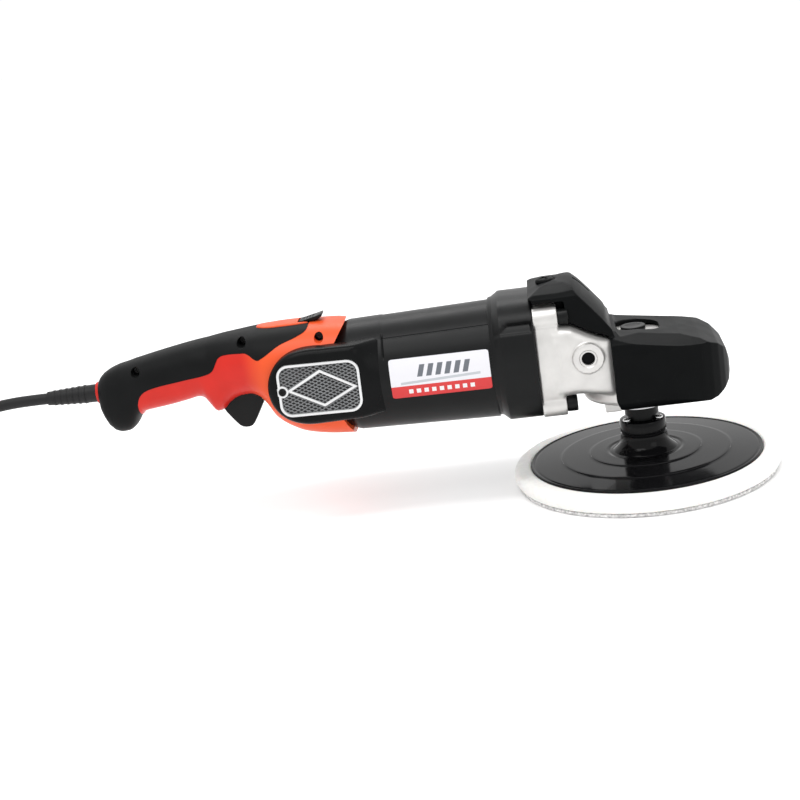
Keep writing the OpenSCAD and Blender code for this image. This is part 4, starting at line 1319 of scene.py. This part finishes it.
def build_hood():
    """The rubber hood with its arm, the bowl round the spindle and the oval window."""
    hood = copy_of("head_cover", "Head_cover")
    carve(hood, [lathe("Below", [(0, 36), (27, 36), (27, 53.2), (0, 53.2)], 96)])
    bowl = lathe("Bowl", rounded([(9.9, 46.8), (12.4, 47.2), (17.6, 50.4), (19.6, 52.4),
                                  (21.5, 55), (9.9, 55)], 0.5), 96)
    carve(bowl, [bar("Behind", (-40, -40, 40), (-15, 40, 60))])
    # A black bar under the arm, melted into the hood: partly the arm's wall reaching down, partly painted
    # shade filling the dark gap above the housing.
    inner = bar("Arm_root", (-48, -22, 119), (-41, 22, 129.5))
    hood = join("Head_cover", [hood, bowl, inner])
    melt(hood, 0.8, 5, 0.5)
    for v in hood.data.vertices:
        x, y, z = v.co / MM
        if z > 84 and x > -14:
            ridge = float(np.interp(x, [-16, 0, 17, 34, 52], [99.8, 96.9, 94.4, 92, 88.4]))
            limit = ridge + 0.28 * min(40 - abs(y), 16) - (2.4 if v.normal.z < 0 else 0)
            if z > limit:
                v.co.z = limit * MM
        elif -50 < x <= -14 and abs(y) < 31:
            top = float(np.interp(x, [-50, -42.5, -38, -33, -27, -21, -14],
                                  [137.4, 137, 134.8, 130.2, 123, 115.4, 106.5]))
            crown = 3.4 * (1 - (y / 31) ** 2) * float(ramp(x, -46, -36) * ramp(-x, 14, 20))
            v.co += Vector((0.76, 0, 0.65)) * crown * float(ramp(z, top - 7, top - 3)) * MM
    slot = [(-33.5, 138), (-24.5, 127.2), (-27.2, 124.8), (-36.2, 135.6)]
    carve(hood, [side_solid("Slot", slot, 1.6)])
    finish_piece(hood, "housing", FINISH["hood"], ["head_cover"], sharp=50)
    head = cross_screw(6.3, 3.2)
    screw = repeat("Cover_screw", head, [((-53, 0, 135.4), (0, 0, 0.5), (1, 1, 1))],
                   FINISH["hood"])
    finish_piece(screw, "housing", FINISH["hood"], ["cover_screw"])


def build_button():
    low, high = box_mm("lock_button")
    cap = lathe("Cap", rounded([(0, 97.2), (high[0], 97.2), (high[0], high[2]),
                                (high[0] * 0.7, high[2]), (high[0] * 0.55, high[2] - 0.4),
                                (0, high[2] - 0.7)], 0.6), 80)
    stem = lathe("Stem", [(0, 95.9), (4.7, 95.9), (4.7, 97.4), (0, 97.4)], 48)
    button = join("Lock_button", [cap, stem])
    finish_piece(button, "lock_button", FINISH["black"], ["lock_button"])


def build_flange_screws():
    places = [((-47.7, y, MOTOR_Z + z), (0, math.pi / 2, 0), (1, 1, 1))
              for y in (-28.5, 28.5) for z in (-28.5, 28.5)]
    screws = repeat("Flange_screws", socket_screw(5.2, 7), places, FINISH["black"])
    finish_piece(screws, "housing", FINISH["black"], ["flange_screws"])


# ---------------------------------------------------------------- pad, plate and hub
def build_foam():
    """Polishing pad: a foam disc with a worn, slightly uneven edge."""
    r = sizes().pad_radius / MM
    profile = [(0, 2.05), (r * 0.5, 2.05), (r - 6, 2.05), (r - 3.4, 2.3), (r - 2, 3.2), (r - 1, 4.8),
               (r - 0.35, 6.6), (r - 0.1, 8.2), (r - 0.3, 9.8), (r - 0.9, 11.2), (r - 1.9, 12.3),
               (r - 3.2, 13), (r - 4.8, 13.3), (r - 6.6, 13.4), (r - 8.4, 13.4), (r - 10, 13.3),
               (r - 11.2, 12.9), (r - 11.5, 12.2), (r - 11.6, 11.45), (r * 0.5, 11.45),
               (0, 11.45)]
    fine = []
    for (r0, z0), (r1, z1) in zip(profile, profile[1:]):
        count = max(1, min(6, int(math.hypot(r1 - r0, z1 - z0) / 1.2)))
        fine += [(r0 + (r1 - r0) * k / count, z0 + (z1 - z0) * k / count) for k in range(count)]
    fine.append(profile[-1])
    pad = lathe("Foam_pad", fine, 420)
    for v in pad.data.vertices:
        p = v.co / MM
        reach = math.hypot(p.x, p.y)
        if reach > r * 0.84 and p.z > 2.2:
            wave = noise.noise(Vector((p.x, p.y, p.z)) * 0.045)
            lump = noise.noise(Vector((p.x, p.y, p.z)) * 0.35)
            pit = noise.noise(Vector((p.x, p.y, p.z)) * 1.1)
            shift = 0.35 * wave + 0.22 * lump + 0.16 * pit - 0.2
            out = Vector((p.x / reach, p.y / reach, 0.35 if p.z > 9 else 0)).normalized()
            v.co += out * shift * MM
    finish_piece(pad, "spindle", FINISH["foam"], ["foam_pad"], sharp=60)
    hook_r = box_mm("hook_layer")[1][0]
    hook = lathe("Hook_layer", rounded([(0, 0), (hook_r, 0), (hook_r, 2), (0, 2)], 0.5), 420)
    for v in hook.data.vertices:
        p = v.co / MM
        reach = math.hypot(p.x, p.y)
        if reach > hook_r - 2:
            ragged = 0.45 * noise.noise(Vector((p.x, p.y, 3.0)) * 0.8) - 0.25
            v.co += Vector((p.x, p.y, 0)).normalized() * ragged * MM
    finish_piece(hook, "spindle", FINISH["hook"], ["hook_layer"])


def build_plate():
    """Glossy backing plate with its steps, fine turned rings and a raised rim."""
    r = sizes().plate_radius / MM
    top = [(r, 11.5), (r, 13.2), (r - 0.3, 13.75), (r - 0.9, 13.95), (r - 1.5, 13.8),
           (r - 1.8, 13.45), (r - 2.4, 13.4), (r - 2.8, 13.75), (r - 3.6, 13.85)]
    for step_r, low, high in ((55.5, 15.0, 15.75), (36.5, 16.4, 17.15)):
        top += [(step_r + 0.5, low), (step_r + 0.1, low + 0.12), (step_r - 0.2, high - 0.12),
                (step_r - 0.6, high)]
    top += [(26, 17.5), (24.5, 17.55), (24, 17.2), (22.8, 17.2), (22.3, 17.5), (20.4, 17.5),
            (20.4, 14.6)]
    profile = []
    for (r0, z0), (r1, z1) in zip(top, top[1:]):
        count = max(1, int(math.hypot(r1 - r0, z1 - z0) / 1.5))
        for k in range(count):
            t = k / count
            groove_z = -0.05 * (0.5 - 0.5 * math.cos(2 * math.pi * (r0 + (r1 - r0) * t) / 3.1))
            profile.append((r0 + (r1 - r0) * t, z0 + (z1 - z0) * t + (groove_z if count > 3 else 0)))
    profile += [top[-1], (0, 14.6), (0, 11.5)]
    plate = lathe("Backing_plate", profile, 256)
    finish_piece(plate, "spindle", FINISH["plate"], ["backing_plate"], sharp=38)


def build_hub():
    profile = [(6.9, 14.5), (21.8, 14.5), (22.3, 15), (22.2, 16), (20.8, 18), (18.6, 19.6),
               (16.9, 21.6), (15.9, 23.6), (15.3, 26), (15.1, 28), (14.4, 28.6), (14.4, 29.8),
               (15.1, 30.4), (15.1, 36.6), (14.7, 37.6), (13.9, 38), (6.9, 38)]
    hub = lathe("Backing_hub", profile, 96)
    finish_piece(hub, "spindle", FINISH["plate"], ["backing_hub"])
    places = [((12 * math.cos(a), 12 * math.sin(a), 38.0), (0, 0, a), (1, 1, 1))
              for a in (math.radians(90), math.radians(210), math.radians(330))]
    screws = repeat("Hub_screws", cross_screw(2.6, 1.9), places, FINISH["bright"])
    finish_piece(screws, "spindle", FINISH["bright"], ["hub_screws"])
    neck = lathe("Spindle_collar", rounded([(6.95, 38.05), (9.2, 38.05), (9.2, 40.4), (8.6, 41),
                                            (6.95, 41)], 0.4), 72)
    finish_piece(neck, "spindle", FINISH["black"])


# ---------------------------------------------------------------- carried-over nodes
CARRIED = {
    "steel": ["gear_cover_screws", "lower_bearing", "upper_bearing", "front_bearing", "rear_bearing",
              "field_core", "armature_shaft", "armature_core", "clamp_screws", "trigger_pin",
              "crown_gear", "pinion", "lock_spring", "lock_tang"],
    "copper": ["field_coils", "armature_windings", "commutator"],
    "brass": ["brush_holders"],
    "carbon": ["carbon_brushes"],
    "board": ["speed_module"],
    "black": ["spindle", "switch_body", "cord_clamp", "cooling_fan", "dust_seal", "rear_bearing_sleeve"],
    "grip": ["capacitor"],
}


def dress_carried_nodes():
    """Gives every frame node that still shows its finish."""
    for finish, names in CARRIED.items():
        for name in names:
            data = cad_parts[name].data
            data.materials.clear()
            data.materials.append(FINISH[finish])


# ---------------------------------------------------------------- operators
class POLISHER_OT_stage(bpy.types.Operator):
    """Sets up the camera, the floor and the light"""

    bl_idname = "polisher.stage"
    bl_label = "Camera and stage"

    def execute(self, context):
        FINISH.update(make_finishes())
        place_camera()
        make_stage()
        return {"FINISHED"}


class POLISHER_OT_cord(bpy.types.Operator):
    """Lays the mains cord, its plug, its strap and the boot it leaves from"""

    bl_idname = "polisher.cord"
    bl_label = "Mains cord"

    def execute(self, context):
        cord = build_cord()
        pieces = build_plug()
        build_boot()
        return {"FINISHED"}


class POLISHER_OT_tail(bpy.types.Operator):
    """Builds the tail handle: grip, shell, top strip and screws"""

    bl_idname = "polisher.tail"
    bl_label = "Tail handle"

    def execute(self, context):
        build_tail()
        build_top_strip()
        return {"FINISHED"}


class POLISHER_OT_controls(bpy.types.Operator):
    """Builds the trigger, its lock slider and the spindle-lock button"""

    bl_idname = "polisher.controls"
    bl_label = "Trigger, slider and button"

    def execute(self, context):
        build_slider()
        build_trigger()
        build_button()
        return {"FINISHED"}


class POLISHER_OT_pods(bpy.types.Operator):
    """Builds the side panels with their vent grilles"""

    bl_idname = "polisher.pods"
    bl_label = "Side panels and vents"

    def execute(self, context):
        build_pods()
        build_vent_screws()
        return {"FINISHED"}


class POLISHER_OT_motor(bpy.types.Operator):
    """Builds the motor barrel, its collar and the label"""

    bl_idname = "polisher.motor"
    bl_label = "Motor barrel"

    def execute(self, context):
        build_barrel()
        build_collar()
        build_label()
        return {"FINISHED"}


class POLISHER_OT_head(bpy.types.Operator):
    """Builds the gear housing, the hood over it and their screws"""

    bl_idname = "polisher.head"
    bl_label = "Gear head"

    def execute(self, context):
        build_gear_housing()
        build_hood()
        build_flange_screws()
        return {"FINISHED"}


class POLISHER_OT_pad(bpy.types.Operator):
    """Builds the foam pad, the backing plate and its hub"""

    bl_idname = "polisher.pad"
    bl_label = "Pad and plate"

    def execute(self, context):
        build_foam()
        build_plate()
        build_hub()
        return {"FINISHED"}


class POLISHER_OT_inside(bpy.types.Operator):
    """Finishes the parts inside the tool"""

    bl_idname = "polisher.inside"
    bl_label = "Inner parts"

    def execute(self, context):
        dress_carried_nodes()
        return {"FINISHED"}


OPERATORS = (POLISHER_OT_stage, POLISHER_OT_cord, POLISHER_OT_tail, POLISHER_OT_controls,
             POLISHER_OT_pods, POLISHER_OT_motor, POLISHER_OT_head, POLISHER_OT_pad,
             POLISHER_OT_inside)


class POLISHER_PT_panel(bpy.types.Panel):
    """Sizes, colours and build steps of the polisher"""

    bl_idname = "POLISHER_PT_panel"
    bl_label = "Rotary polisher"
    bl_space_type = "VIEW_3D"
    bl_region_type = "UI"
    bl_category = "Polisher"

    def draw(self, context):
        for group in (context.scene.polisher_sizes, context.scene.polisher_colours,
                      context.scene.polisher_camera):
            for name in group.bl_rna.properties.keys():
                if name not in ("rna_type", "name"):
                    self.layout.prop(group, name)
        for operator in OPERATORS:
            self.layout.operator(operator.bl_idname)


GROUPS = (PolisherSizes, PolisherColours, PolisherCamera)
CLASSES = (*GROUPS, *OPERATORS, POLISHER_PT_panel)


def register():
    for cls in CLASSES:
        bpy.utils.register_class(cls)
    bpy.types.Scene.polisher_sizes = bpy.props.PointerProperty(type=PolisherSizes)
    bpy.types.Scene.polisher_colours = bpy.props.PointerProperty(type=PolisherColours)
    bpy.types.Scene.polisher_camera = bpy.props.PointerProperty(type=PolisherCamera)


def unregister():
    del bpy.types.Scene.polisher_camera
    del bpy.types.Scene.polisher_colours
    del bpy.types.Scene.polisher_sizes
    for cls in reversed(CLASSES):
        bpy.utils.unregister_class(cls)


def main():
    register()
    for operator in OPERATORS:
        group, name = operator.bl_idname.split(".")
        getattr(getattr(bpy.ops, group), name)()


if __name__ == "__main__":
    main()
